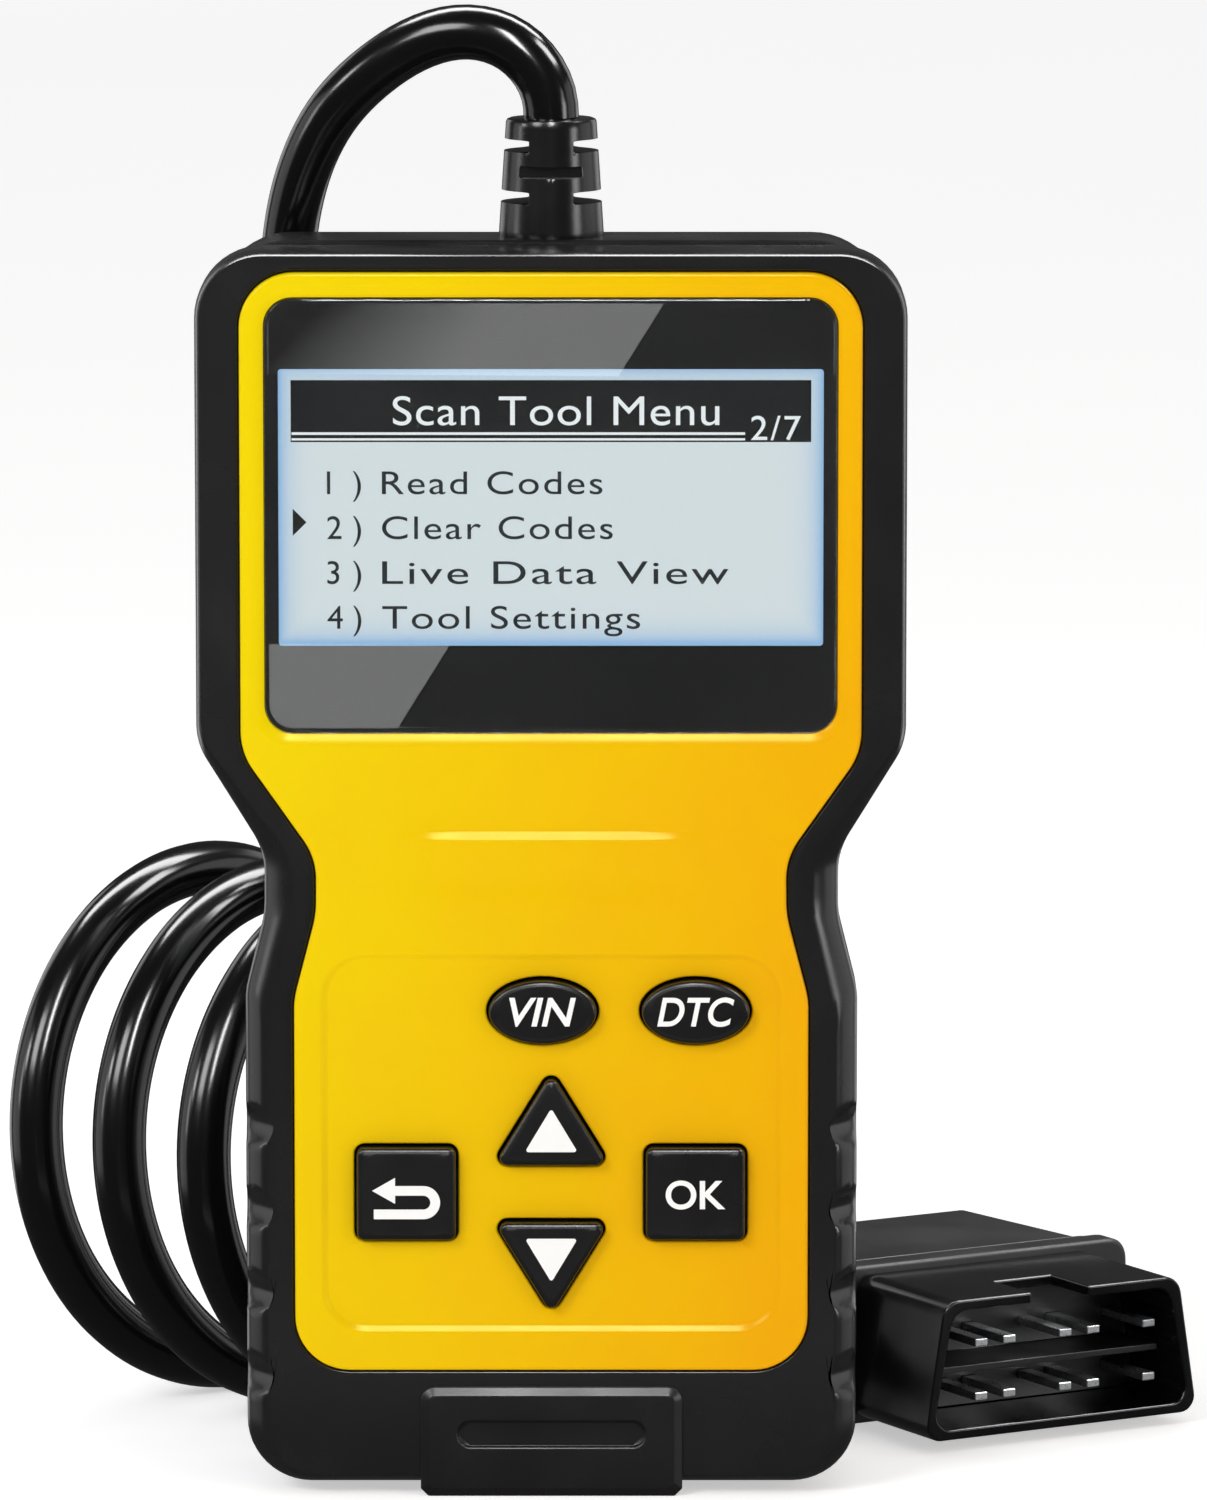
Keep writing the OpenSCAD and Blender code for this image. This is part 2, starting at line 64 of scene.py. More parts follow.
camera = bpy.data.objects.new("camera", bpy.data.cameras.new("camera"))
camera.data.lens = 247.1
camera.data.sensor_width = 36
camera.data.clip_end = 50
camera.location = (aim + camera_away * np.array([0, -math.cos(camera_rise), math.sin(camera_rise)])) * MM
camera.rotation_euler = (math.pi / 2 - camera_rise, 0, 0)
scene.collection.objects.link(camera)
scene.camera = camera
print("camera stands", round(camera.location.z / MM), "mm up")

# %% [markdown]
# ## Surfaces from grids
# Most pieces here are a closed line carried through space: a list of rings, each ring with the same
# number of points. Two numbers place a point: which ring it is on, and how far round. Joining ring to
# ring gives a skin of four-sided faces. It could also be drawn with curves and a bevel object, but a
# grid keeps full control of where each highlight runs.

# %% Grid helpers
def unit(v):
    """Rows scaled to length one: each row divided by the root of its summed squares."""
    return v / np.linalg.norm(v, axis=-1, keepdims=True)


def grid_faces(rows, columns):
    """Quads between neighbouring rows of a grid whose last column joins its first."""
    start = np.arange(rows - 1)[:, None] * columns
    here = np.arange(columns)[None, :]
    after = (here + 1) % columns
    quads = [start + here, start + after, start + columns + after, start + columns + here]
    return np.stack(quads, -1).reshape(-1, 4)


def loft(rings, caps=False):
    """A skin through rings of equal count. With caps, each end is closed on the middle of its ring."""
    rings = np.asarray(rings, float)
    rows, columns = rings.shape[:2]
    points = rings.reshape(-1, 3)
    faces = grid_faces(rows, columns).tolist()
    if caps:
        here = np.arange(columns)
        after = (here + 1) % columns
        tip = rows * columns
        last = (rows - 1) * columns
        points = np.vstack([points, rings[0].mean(0), rings[-1].mean(0)])
        faces += np.stack([after, here, np.full(columns, tip)], 1).tolist()
        faces += np.stack([last + here, last + after, np.full(columns, tip + 1)], 1).tolist()
    return points, faces


# %% [markdown]
# A piece is often several skins that share their border rings. They are stacked into one mesh, points
# that coincide are merged, and the faces are turned outwards. A Weighted Normal modifier lets the big
# faces decide how the light falls, so that a flat face stays flat right up to its rounded edge. The
# line that is printed says how many triangles the piece has and how many edges were left open, which
# should be none.

# %% From skins to a finished piece
OPEN_LIMIT = 2e-6


def finish_mesh(mesh, crease=35):
    """Merges coincident points, turns faces outwards and keeps edges sharper than crease degrees crisp."""
    shape = bmesh.new()
    shape.from_mesh(mesh)
    bmesh.ops.remove_doubles(shape, verts=shape.verts, dist=OPEN_LIMIT)
    bmesh.ops.dissolve_degenerate(shape, edges=shape.edges, dist=OPEN_LIMIT / 4)
    bmesh.ops.recalc_face_normals(shape, faces=shape.faces)
    open_edges = sum(not edge.is_manifold for edge in shape.edges)
    shape.to_mesh(mesh)
    shape.free()
    mesh.shade_smooth()
    mesh.set_sharp_from_angle(angle=math.radians(crease))
    return open_edges


def place_piece(name, mesh, finish, body, replaces):
    mesh.materials.append(finish)
    piece = bpy.data.objects.new(name, mesh)
    scene.collection.objects.link(piece)
    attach(piece, body)
    if replaces:
        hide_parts(*replaces)
    return piece


def make_piece(name, skins, finish, body="reader", replaces=(), crease=35):
    """One named object from skins in millimetres, which rides on a body and takes a finish."""
    starts = np.cumsum([0] + [len(points) for points, faces in skins])
    points = np.vstack([points for points, faces in skins]) * MM
    faces = [[i + start for i in face] for (_, part), start in zip(skins, starts) for face in part]
    mesh = bpy.data.meshes.new(name)
    mesh.from_pydata(points, [], faces)
    open_edges = finish_mesh(mesh, crease)
    piece = place_piece(name, mesh, finish, body, replaces)
    flat = piece.modifiers.new("flat_faces_look_flat", "WEIGHTED_NORMAL")
    flat.keep_sharp = True
    triangles = sum(len(face.vertices) - 2 for face in mesh.polygons)
    print(f"{name}: {triangles} triangles, {open_edges} open edges")
    return piece


# %% [markdown]
# ## Finishes
# A colour picked on a screen is stored with more steps for the dark tones, while Blender mixes light
# in plain proportion. One function turns a hex colour into those plain values. One more adds a shader
# node with its settings and its links.

# %% Colour and node helpers
def colour(hex_code):
    """An sRGB hex colour as linear red, green, blue and full cover."""
    part = np.array([int(hex_code[i:i + 2], 16) for i in (1, 3, 5)]) / 255
    linear = np.where(part <= 0.04045, part / 12.92, ((part + 0.055) / 1.055) ** 2.4)
    return (*linear.tolist(), 1.0)


def add(tree, kind, inputs=None, **settings):
    """Adds one node. A value that is a socket is linked, and any other is set on the input itself."""
    node = tree.nodes.new(kind)
    for key, value in settings.items():
        setattr(node, key, value)
    for key, value in (inputs or {}).items():
        if isinstance(value, bpy.types.NodeSocket):
            tree.links.new(value, node.inputs[key])
        else:
            node.inputs[key].default_value = value
    return node


def new_finish(name):
    """An empty material, its node tree and the Object coordinates that its patterns are placed by."""
    finish = bpy.data.materials.new(name)
    finish.use_nodes = True
    tree = finish.node_tree
    tree.nodes.clear()
    place = add(tree, "ShaderNodeTexCoord").outputs["Object"]
    return finish, tree, place


def close_finish(tree, shader):
    """Sends the shader to the material's output."""
    add(tree, "ShaderNodeOutputMaterial", {"Surface": shader})


def clouds(tree, place, width, detail=2.0):
    """A noise pattern whose blotches are about the given width in mm."""
    return add(tree, "ShaderNodeTexNoise", {"Vector": place, "Scale": 1 / (width * MM),
                                            "Detail": detail}).outputs["Fac"]


def spread(tree, value, low, high, start=0.0, stop=1.0):
    """What lies from start to stop, stretched to lie from low to high."""
    return add(tree, "ShaderNodeMapRange", {"Value": value, "From Min": start, "From Max": stop,
                                            "To Min": low, "To Max": high}).outputs["Result"]


def blend(tree, share, first, second):
    """A mix of two hex colours."""
    return add(tree, "ShaderNodeMix", {"Factor": share, "A": colour(first), "B": colour(second)},
               data_type="RGBA").outputs["Result"]


def sheathe(finish, tree, inputs):
    """Closes a material with the general surface shader and hands it back."""
    body = add(tree, "ShaderNodeBsdfPrincipled", inputs)
    close_finish(tree, body.outputs["BSDF"])
    return finish


# %% [markdown]
# ### Moulded plastic
# Nearly all of this tool is injection moulded. The steel mould is etched or polished, and the plastic
# copies it: an etched mould gives a fine grain that spreads a highlight, and a polished one gives a
# sharp highlight. So one function makes them all from the base colour, the roughness, the grain's
# width in millimetres and its depth. A slow cloud pattern shifts the gloss a little, as handling does.

# %% Moulded plastic
handling_width = 14
# The point from which the painted light gradient is measured.
painted_light_middle = (0, 0, 80 * MM)


def moulded(name, base, shade, roughness, grain, depth, ior=1.53, gloss_shift=0.06, painted_light_drift=(0, 0, 0),
            gleam="#ffffff"):
    """A moulded plastic: two close colours, a clouded roughness and a grain of the given width in mm.
    The painted light drift is how much more of the shade colour there is for each metre along X, Y and Z: a
    painted gradient of light across the piece."""
    finish, tree, place = new_finish(name)
    cloud = clouds(tree, place, handling_width, 3.0)
    calm = add(tree, "ShaderNodeMath", {0: cloud, 1: 0.3, 2: 0.35}, operation="MULTIPLY_ADD")
    # Painted light: along this direction the mix shifts towards the shade colour, a painted gradient of
    # light.
    off_middle = add(tree, "ShaderNodeVectorMath", {0: place, 1: painted_light_middle}, operation="SUBTRACT")
    along = add(tree, "ShaderNodeVectorMath", {0: off_middle.outputs["Vector"], 1: painted_light_drift},
                operation="DOT_PRODUCT")
    share = add(tree, "ShaderNodeMath", {0: calm.outputs["Value"], 1: along.outputs["Value"]},
                operation="ADD", use_clamp=True)
    worn = spread(tree, cloud, roughness - gloss_shift, roughness + gloss_shift, 0.3, 0.7)
    bump = add(tree, "ShaderNodeBump", {"Height": clouds(tree, place, grain), "Strength": 1.0,
                                        "Distance": depth * MM})
    return sheathe(finish, tree, {
        "Base Color": blend(tree, share.outputs["Value"], base, shade), "Roughness": worn,
        "Normal": bump.outputs["Normal"], "IOR": ior, "Specular Tint": colour(gleam)})


# Case: ABS from a lightly etched mould. The eye sees a satin black with soft, wide highlights.
case_abs = moulded("black_abs_satin", "#161617", "#1b1b1c", 0.25, 0.35, 0.003)
# Bottom cap: the same ABS from a finer etch, a shade greyer.
cap_abs = moulded("black_abs_fine_etch", "#111112", "#171718", 0.34, 0.3, 0.007)
# Cover: yellow ABS from a finely stoned mould, a bright warm yellow with a soft sheen. Painted light: its
# colour goes from lemon at the upper left to amber at the lower right, as lamps of two tints would light it.
cover_abs = moulded("yellow_abs_satin", "#e5cb00", "#e7a400", 0.23, 0.4, 0.0025, ior=1.4, gloss_shift=0.03,
                    painted_light_drift=(12.5, 0, -2.3), gleam="#ffe28a")
# Keys: silicone rubber with a lacquered top. Nearly black, with a soft edge light.
key_rubber = moulded("black_silicone_lacquered", "#101011", "#161617", 0.3, 0.3, 0.008)
# Cord: extruded soft PVC. Very glossy, so it mirrors the lamps as long sharp lines.
cord_pvc = moulded("black_pvc_extruded", "#070708", "#0b0b0c", 0.18, 1.8, 0.003, gloss_shift=0.03)
# Strain reliefs: moulded soft PVC, a little duller than the cord.
relief_pvc = moulded("black_pvc_moulded", "#0c0c0d", "#121213", 0.24, 0.5, 0.008)
# Plug shroud: nylon from a polished mould.
plug_nylon = moulded("black_nylon_polished", "#070708", "#0b0b0c", 0.17, 0.6, 0.004)
# Plug hood: nylon with glass fibre from an etched mould, so it looks dull and dark grey.
hood_nylon = moulded("black_nylon_glass_filled", "#1a1a1c", "#222224", 0.42, 0.35, 0.014)
# Insert: polyester resin that carries the contacts, dull black.
insert_resin = moulded("black_polyester_insert", "#101011", "#151516", 0.35, 0.5, 0.008)
# Parts inside: a keypad sheet, a wire's jacket, chips, a white header and a circuit board.
sheet_rubber = moulded("grey_silicone", "#4a4c50", "#44464a", 0.55, 0.5, 0.01)
chip_epoxy = moulded("black_moulding_epoxy", "#1e2022", "#26282b", 0.55, 0.2, 0.01)
header_nylon = moulded("natural_nylon", "#ece9df", "#e2dfd4", 0.45, 0.5, 0.006)
wire_pvc = moulded("red_pvc", "#b3281d", "#c23b2e", 0.35, 0.5, 0.004)
board_resist = moulded("green_solder_resist", "#14562b", "#1f6b3a", 0.3, 1.2, 0.01)
flex_polyimide = moulded("amber_polyimide", "#a8622a", "#b5702a", 0.3, 1.0, 0.004)
label_film = moulded("silver_polyester_film", "#c9ccd0", "#c2c5c9", 0.42, 0.25, 0.006)
window_print = moulded("black_screen_print", "#050506", "#08080a", 0.5, 0.3, 0.003)
legend_ink = moulded("white_pad_print", "#f2f3f3", "#e9eaea", 0.45, 0.2, 0.003)
guide_acrylic = moulded("white_light_guide", "#eef2f4", "#e6eaec", 0.3, 1.0, 0.002)

# %% [markdown]
# ### Metals
# Contacts are tin plated and screws are zinc plated or blackened steel. A metal takes its colour from
# what it mirrors, so only its tint, its roughness and the direction of its fine lines matter. The
# drawing lines are about a fifth of a millimetre apart, drawn coarse enough to show.

# %% Metals
def plated(name, base, roughness, line=0.2, depth=0.003):
    """A drawn and plated metal: lines along its length, as a stretched noise pattern."""
    finish, tree, place = new_finish(name)
    stretch = add(tree, "ShaderNodeMapping", {"Vector": place, "Scale": (1, 0.08, 1)})
    lines = clouds(tree, stretch.outputs["Vector"], line)
    bump = add(tree, "ShaderNodeBump", {"Height": lines, "Distance": depth * MM})
    return sheathe(finish, tree, {
        "Base Color": colour(base), "Metallic": 1.0, "Normal": bump.outputs["Normal"],
        "Roughness": spread(tree, lines, roughness - 0.08, roughness + 0.08)})


pin_tin = plated("tin_plated_brass", "#e6e8ea", 0.3, depth=0.0006)
screw_zinc = plated("zinc_plated_steel", "#b9bdc1", 0.32)
screw_black = plated("blackened_steel", "#3a3b3e", 0.4)
can_aluminium = plated("drawn_aluminium", "#c4c8cc", 0.3)

# %% [markdown]
# ### Window and display
# The window is a clear acrylic plate, so it both shows what is behind it and mirrors the room. The
# display behind it is a backlit liquid crystal: it gives off an even, cool light, a little bluer near
# its edges where the light comes in. Its dark marks are made as thin pieces just in front of it.

# %% Window and display finishes
def clear_acrylic():
    """Cast acrylic, index 1.49: clear, with a polished face."""
    finish, tree, place = new_finish("clear_acrylic_plate")
    worn = spread(tree, clouds(tree, place, 25), 0.0, 0.004)
    return sheathe(finish, tree, {"Base Color": colour("#fbfdfd"), "Roughness": worn, "IOR": 1.49,
                                  "Transmission Weight": 1.0})


def lit_display():
    """A backlit panel: its glow goes from pale to blue with the edge attribute of the surface."""
    finish, tree, place = new_finish("backlit_liquid_crystal")
    rim = add(tree, "ShaderNodeAttribute", attribute_name="edge")
    grain = spread(tree, clouds(tree, place, 0.5, 1.0), -0.04, 0.04)
    level = add(tree, "ShaderNodeMath", {0: rim.outputs["Fac"], 1: grain}, operation="ADD")
    glow = blend(tree, level.outputs["Value"], "#dde7ea", "#93bfe8")
    return sheathe(finish, tree, {"Base Color": colour("#202426"), "Roughness": 0.4,
                                  "Emission Color": glow, "Emission Strength": 0.95})


def display_mark(name, base, glow):
    """What the display draws: dark where the crystal blocks the light, pale where it lets it through."""
    finish, tree, place = new_finish(name)
    tint = blend(tree, clouds(tree, place, 0.4), base, glow)
    return sheathe(finish, tree, {"Base Color": colour("#0c0d0e"), "Roughness": 0.5,
                                  "Emission Color": tint, "Emission Strength": 1.0})


window_acrylic = clear_acrylic()
display_glow = lit_display()
mark_dark = display_mark("liquid_crystal_dark", "#0a0b0c", "#101214")
mark_text = display_mark("liquid_crystal_text", "#1c2224", "#22282b")
mark_pale = display_mark("liquid_crystal_pale", "#f3f7f8", "#eaf0f2")
print("finishes:", len(bpy.data.materials))

# %% [markdown]
# ## The cord
# The cord leaves the top of the case, makes one loop, runs down behind and stands in three turns
# before it goes to the plug. Its route is a short list of points where it lies free and a formula
# where it is coiled. A poly-line through them would show kinks in the highlight. A cubic in each span,
# with slopes solved together so that the bend never jumps, gives the one smooth line of a real cord.

# %% Route of the cord
cord_radius = 3.25
turn_radius = 30.4
turn_pitch = 15
turn_count = 3
turn_steps = 15
plug_at = np.array([61.6, 21, 0])
plug_turn = math.radians(30)
plug_axis = np.array([math.sin(plug_turn), -math.cos(plug_turn), 0])
plug_long = 18 + 36 + 14
plug_middle = 9.2

lead_route = np.array([
    [0, 5, 161.3], [-0.3, 5, 164], [-1.9, 5.2, 167.3], [-5.2, 5.8, 170.1], [-10, 6.8, 171.2],
    [-15.4, 8.2, 169.9], [-20.6, 10, 166.6], [-25.2, 12.2, 162], [-28.6, 14.8, 156], [-30.8, 17.4, 148],
    [-31.4, 19.4, 138], [-29.6, 22, 126], [-25, 26.2, 113], [-17.6, 32.4, 100], [-8.8, 39.4, 86],
    [-0.6, 45.6, 71], [4.8, 50, 56], [6.8, 51.6, 44]])
tail_route = np.array([
    [-24.6, 84.6, 22], [-20.4, 86.4, 12], [-12.6, 88.4, 5.8], [-3.6, 89.6, 3.8], [3.6, 90.2, 3.6],
    [10.4, 90, 4.4], [16.5, 88.9, 6.2], [22.9, 85.4, 8.4]])
turn = np.arange(turn_count * turn_steps + 1) / turn_steps
across = turn_radius * np.cos(2 * np.pi * turn) / math.sqrt(2)
along = turn_pitch * turn / math.sqrt(2)
turns = np.stack([-14.9 - along + across, 30 + along + across,
                  turn_radius + cord_radius - turn_radius * np.sin(2 * np.pi * turn)], 1)
cord_end = plug_at + [0, 0, plug_middle] - plug_axis * plug_long
route = np.vstack([lead_route, turns, tail_route, cord_end])


def smooth_line(points, first, last, spacing):
    """A cubic in each span, with equal bend on both sides of each point and given end directions."""
    spans = np.linalg.norm(np.diff(points, axis=0), axis=1)
    before, after = spans[:-1], spans[1:]
    count = len(points)
    inner = np.arange(1, count - 1)
    matrix = np.eye(count)
    matrix[inner, inner - 1] = after
    matrix[inner, inner] = 2 * (before + after)
    matrix[inner, inner + 1] = before
    pull = np.empty((count, 3))
    pull[0], pull[-1] = first, last
    step = np.diff(points, axis=0) / spans[:, None]
    pull[1:-1] = 3 * (after[:, None] * step[:-1] + before[:, None] * step[1:])
    slope = np.linalg.solve(matrix, pull)
    reach = np.concatenate([[0], np.cumsum(spans)])
    where = np.linspace(0, reach[-1], int(reach[-1] / spacing) + 1)
    span = np.clip(np.searchsorted(reach, where, side="right") - 1, 0, count - 2)
    t = ((where - reach[span]) / spans[span])[:, None]
    size = spans[span][:, None]
    return ((2 * t**3 - 3 * t**2 + 1) * points[span] + (t**3 - 2 * t**2 + t) * size * slope[span]
            + (3 * t**2 - 2 * t**3) * points[span + 1] + (t**3 - t**2) * size * slope[span + 1])


cord_line = smooth_line(route, np.array([0, 0, 1]), plug_axis, 1.4)
cord_length = np.linalg.norm(np.diff(cord_line, axis=0), axis=1).sum()
print("cord length in mm:", round(cord_length, 1))

# %% [markdown]
# To turn the line into a tube, each of its points gets a small round ring that stands square to the
# line. The rings are carried along without twisting, so that the faces run straight along the cord.

# %% The cord's tube
def tube(line, radius, sides=28):
    """Rings of one radius, square to the line: each ring's side is the last one's, made square again."""
    heading = unit(np.gradient(line, axis=0))
    side = np.empty_like(line)
    side[0] = unit(np.cross(heading[0], [0, 1, 0]))
    for i in range(1, len(line)):
        side[i] = unit(side[i - 1] - heading[i] * (side[i - 1] @ heading[i]))
    other = np.cross(heading, side)
    angle = np.linspace(0, 2 * np.pi, sides, endpoint=False)
    ring = np.cos(angle)[:, None] * side[:, None] + np.sin(angle)[:, None] * other[:, None]
    return loft(line[:, None] + radius * ring, caps=True)


cord_piece = make_piece("cord_jacket", [tube(cord_line, cord_radius)], cord_pvc,
                        replaces=["cord"])


# %% [markdown]
# ## Strain reliefs
# A strain relief is a soft tapered sleeve that keeps the cord from kinking. Slots cut into it from
# alternate sides leave short rings joined by bridges, so that it bends in steps. It is a round
# surface whose radius follows the taper, held back to what a slot leaves of it where there is one.

# %% Slotted sleeves
def slotted_sleeve(low, high, wide, thin, slots, lip=0.45, ease=0.12):
    """A tapered sleeve along Z. Each slot is (its bottom, its height, its axis 0 or 1, what it leaves)."""
    stops = [low, low + lip / 3, low + lip, high - lip, high - lip / 3, high]
    for bottom, tall, _, _ in slots:
        top = bottom + tall
        stops += [bottom - ease, bottom, bottom + ease, top - ease, top, top + ease]
    height = np.unique(np.round(np.concatenate([stops, np.linspace(low + 1, high - 1, 24)]), 3))
    angle = np.linspace(0, 2 * np.pi, 180, endpoint=False)
    edge = np.clip(np.minimum(height - low, high - height) / lip, 0, 1)
    radius = wide + (thin - wide) * (height - low) / (high - low) - lip * (1 - np.sqrt(1 - (1 - edge) ** 2))
    sleeve = np.stack([np.outer(radius, np.cos(angle)), np.outer(radius, np.sin(angle)),
                       np.outer(height, np.ones_like(angle))], -1)
    for bottom, tall, axis, left in slots:
        depth = np.clip((np.minimum(height - bottom, bottom + tall - height) + ease) / ease, 0, 1)
        limit = left + (1 - depth) * (wide - left)
        sleeve[..., axis] = np.clip(sleeve[..., axis], -limit[:, None], limit[:, None])
    return loft(sleeve, caps=True)


outlet = np.array([0, 5, 0])
relief_points, relief_faces = slotted_sleeve(147.2, 161.3, 6.2, 5.3, [
    (151.6, 1.2, 0, 2.6), (154.6, 1.2, 1, 4.4), (157.6, 1.2, 0, 2.6)])
relief_piece = make_piece("cord_relief", [(relief_points + outlet, relief_faces)], relief_pvc,
                          replaces=["strain_relief"])


def in_plug(points):
    """From the plug's own frame, mouth at y = 0 and body along +Y, to its place on the surface."""
    x, y, z = points.T
    c, s = math.cos(plug_turn), math.sin(plug_turn)
    return np.stack([c * x - s * y, s * x + c * y, z], 1) + plug_at


boot_points, boot_faces = slotted_sleeve(0, 14, 5.4, 4.4, [
    (3.4, 1.2, 0, 2.6), (6.4, 1.2, 1, 3.6), (9.4, 1.2, 0, 2.6)])
boot_points = boot_points @ np.array([[1, 0, 0], [0, 0, 1], [0, 1, 0]]) + [0, 54, plug_middle]
boot_piece = make_piece("plug_sleeve", [(in_plug(boot_points), boot_faces)], relief_pvc,
                        replaces=["plug_boot"])

# %% [markdown]
# ## Outlines
# The case is drawn the way a designer draws it: a few corners, each with its own radius. The function
# rounds every corner with an arc that meets both sides smoothly and divides the straight runs evenly.
# Every outline of the case has the same number of corners, so the same divisions can be used for
# all, and rings made from different outlines join point to point.

# %% Outlines from corners
def both_sides(half):
    """Corners up the right side, and the same corners down the left."""
    right = np.array(half, float)
    return np.vstack([right, right[::-1] * [-1, 1, 1]])


def rounded(corners, arc=12, pitch=0.6, runs=None):
    """A closed outline whose corners are arcs. Returns its points and the parts in each straight run."""
    corners = np.asarray(corners, float)
    at, radius = corners[:, :2], corners[:, 2:]
    back = unit(np.roll(at, 1, 0) - at)
    on = unit(np.roll(at, -1, 0) - at)
    half = np.arccos(np.clip((back * on).sum(1, keepdims=True), -1, 1)) / 2
    centre = at + unit(back + on) * radius / np.sin(half)
    start = at + back * radius / np.tan(half) - centre
    end = at + on * radius / np.tan(half) - centre
    first = np.arctan2(start[:, 1], start[:, 0])
    swing = (np.arctan2(end[:, 1], end[:, 0]) - first + 3 * np.pi) % (2 * np.pi) - np.pi
    angle = first[:, None] + swing[:, None] * np.linspace(0, 1, arc + 1)
    arcs = centre[:, None] + radius[:, None] * np.stack([np.cos(angle), np.sin(angle)], -1)
    leave, arrive = arcs[:, -1], np.roll(arcs[:, 0], -1, 0)
    if runs is None:
        runs = np.maximum(1, np.round(np.linalg.norm(arrive - leave, axis=1) / pitch)).astype(int)
    points = []
    for i, parts in enumerate(runs):
        share = np.linspace(0, 1, parts + 1)[1:-1, None]
        points += [arcs[i], leave[i] + (arrive[i] - leave[i]) * share]
    return np.vstack(points), runs


def inset(outline, distance):
    """Each point moved inwards, square to the line through its two neighbours."""
    along = unit(np.roll(outline, -1, 0) - np.roll(outline, 1, 0) + 1e-12)
    return outline - distance * np.stack([along[:, 1], -along[:, 0]], 1)


def box_corners(centre, half, radius):
    """The four corners of a rounded rectangle, from bottom right round to bottom left."""
    signs = np.array([[1, -1], [1, 1], [-1, 1], [-1, -1]])
    return np.column_stack([np.array(centre) + signs * half, np.full(4, radius)])


def ring(outline, depth):
    """An outline drawn in X and Z, set at one depth along Y."""
    return np.column_stack([outline[:, 0], np.full(len(outline), depth), outline[:, 1]])


def round_over(outline, face, radius, steps=5, away=-1, turn_in=1):
    """Rings round an edge: a quarter circle from the wall to the face, and away says which side is solid."""
    angle = np.linspace(0, np.pi / 2, steps + 1)
    return [ring(inset(outline, turn_in * radius * (1 - math.cos(a))),
                 face - away * radius * (1 - math.sin(a))) for a in angle]


# %% [markdown]
# Flat faces with openings, such as the yellow cover with its window and key holes, can't be a grid.
# They are filled with triangles between their outlines, and the triangles inside an opening are
# dropped. Extra points can be given where the flat face is going to be shaped afterwards.

# %% Filled faces
def inside(points, outline):
    """True for points that a ray along X leaves the outline from an odd number of times."""
    a, b = outline, np.roll(outline, -1, 0)
    x, z = points[:, :1], points[:, 1:]
    spans = (a[:, 1] > z) != (b[:, 1] > z)
    rise = np.where(b[:, 1] == a[:, 1], 1e-12, b[:, 1] - a[:, 1])
    crossing = a[:, 0] + (z - a[:, 1]) * (b[:, 0] - a[:, 0]) / rise
    return (spans & (x < crossing)).sum(1) % 2 == 1


def fill(outer, depth, holes=(), extra=None):
    """Triangles between an outline and its holes, at one depth."""
    loops = [outer, *holes]
    points = np.vstack(loops if extra is None else loops + [extra])
    edges, start = [], 0
    for loop in loops:
        here = np.arange(len(loop))
        edges += np.stack([start + here, start + (here + 1) % len(loop)], 1).tolist()
        start += len(loop)
    found = delaunay_2d_cdt([Vector(p) for p in points], edges, [], 1, 1e-7)
    flat = np.array([tuple(p) for p in found[0]])
    faces = np.array(found[2])
    middle = flat[faces].mean(1)
    keep = inside(middle, outer)
    for hole in holes:
        keep &= ~inside(middle, hole)
    return ring(flat, depth), faces[keep].tolist()


def plate(outline, front, back, ease=0.0, holes=()):
    """A flat closed piece from front to back depth, with its front edge eased by a small radius."""
    walls = [ring(outline, back), *round_over(outline, front, ease, 3)] if ease else [
        ring(outline, back), ring(outline, front)]
    skins = [loft(walls), fill(inset(outline, ease), front, holes), fill(outline, back, holes)]
    return skins + [loft([ring(hole, front), ring(hole, back)]) for hole in holes]


# %% [markdown]
# ## Driving dimensions of the case
# These corner lists are the same as the CAD's: the rim's crease, the widest line of the sides, the
# rear half, the room inside and the cover. The depths run from the front of the keys to the back.

# %% Case dimensions
rim_half = [[33.5, 2.4, 6], [33.5, 57.5, 14], [30.4, 70.5, 10], [30.5, 76, 7], [41.0, 90.1, 7],
            [41.0, 146.6, 7.5]]
side_half = [[35.9, 1.2, 7.5], [35.9, 59.8, 10], [33.6, 69, 14], [33.6, 76.3, 9], [41.5, 89.1, 8],
             [41.5, 147, 8]]
rear_half = [[34.4, 1.6, 7], [34.4, 60.4, 12], [32.1, 69, 12], [32.1, 77, 9], [39.6, 89.8, 9],
             [39.6, 147.5, 9]]
room_half = [[32.6, 4.4, 5.5], [32.6, 60.6, 10], [30.4, 69, 12], [30.4, 77, 8], [38.2, 90.6, 8],
             [38.2, 144, 6]]
face_half = [[30.1, 15.1, 6.4], [30.1, 59.3, 10], [27.5, 69.3, 12], [27.45, 76, 8], [36.2, 88.4, 8],
             [36.2, 144.6, 6.4]]
rim_front, face_front, panel_floor, face_seat, wall_back, seam, case_back = (
    -11.2, -11.7, -11.3, -10.2, -8.0, -2.0, 13.0)

side_line, case_runs = rounded(both_sides(side_half))
rim_line, _ = rounded(both_sides(rim_half), runs=case_runs)
rear_line, _ = rounded(both_sides(rear_half), runs=case_runs)
room_line, _ = rounded(both_sides(room_half), runs=case_runs)
face_line, _ = rounded(both_sides(face_half), runs=case_runs)
print("points round the case:", len(side_line))

# %% [markdown]
# Keys: two ovals, two squares and two arrows. Their outlines are used three times: for the keys, for
# the holes in the cover and for the holes in the case, each a little larger than the last.

# %% Key outlines
key_front, key_back, key_gap = -13.0, -7.3, 0.3


def oval(centre, half, count=72):
    """An ellipse from its two half sizes."""
    angle = np.linspace(0, 2 * np.pi, count, endpoint=False)
    return np.array(centre) + np.stack([half[0] * np.cos(angle), half[1] * np.sin(angle)], 1)


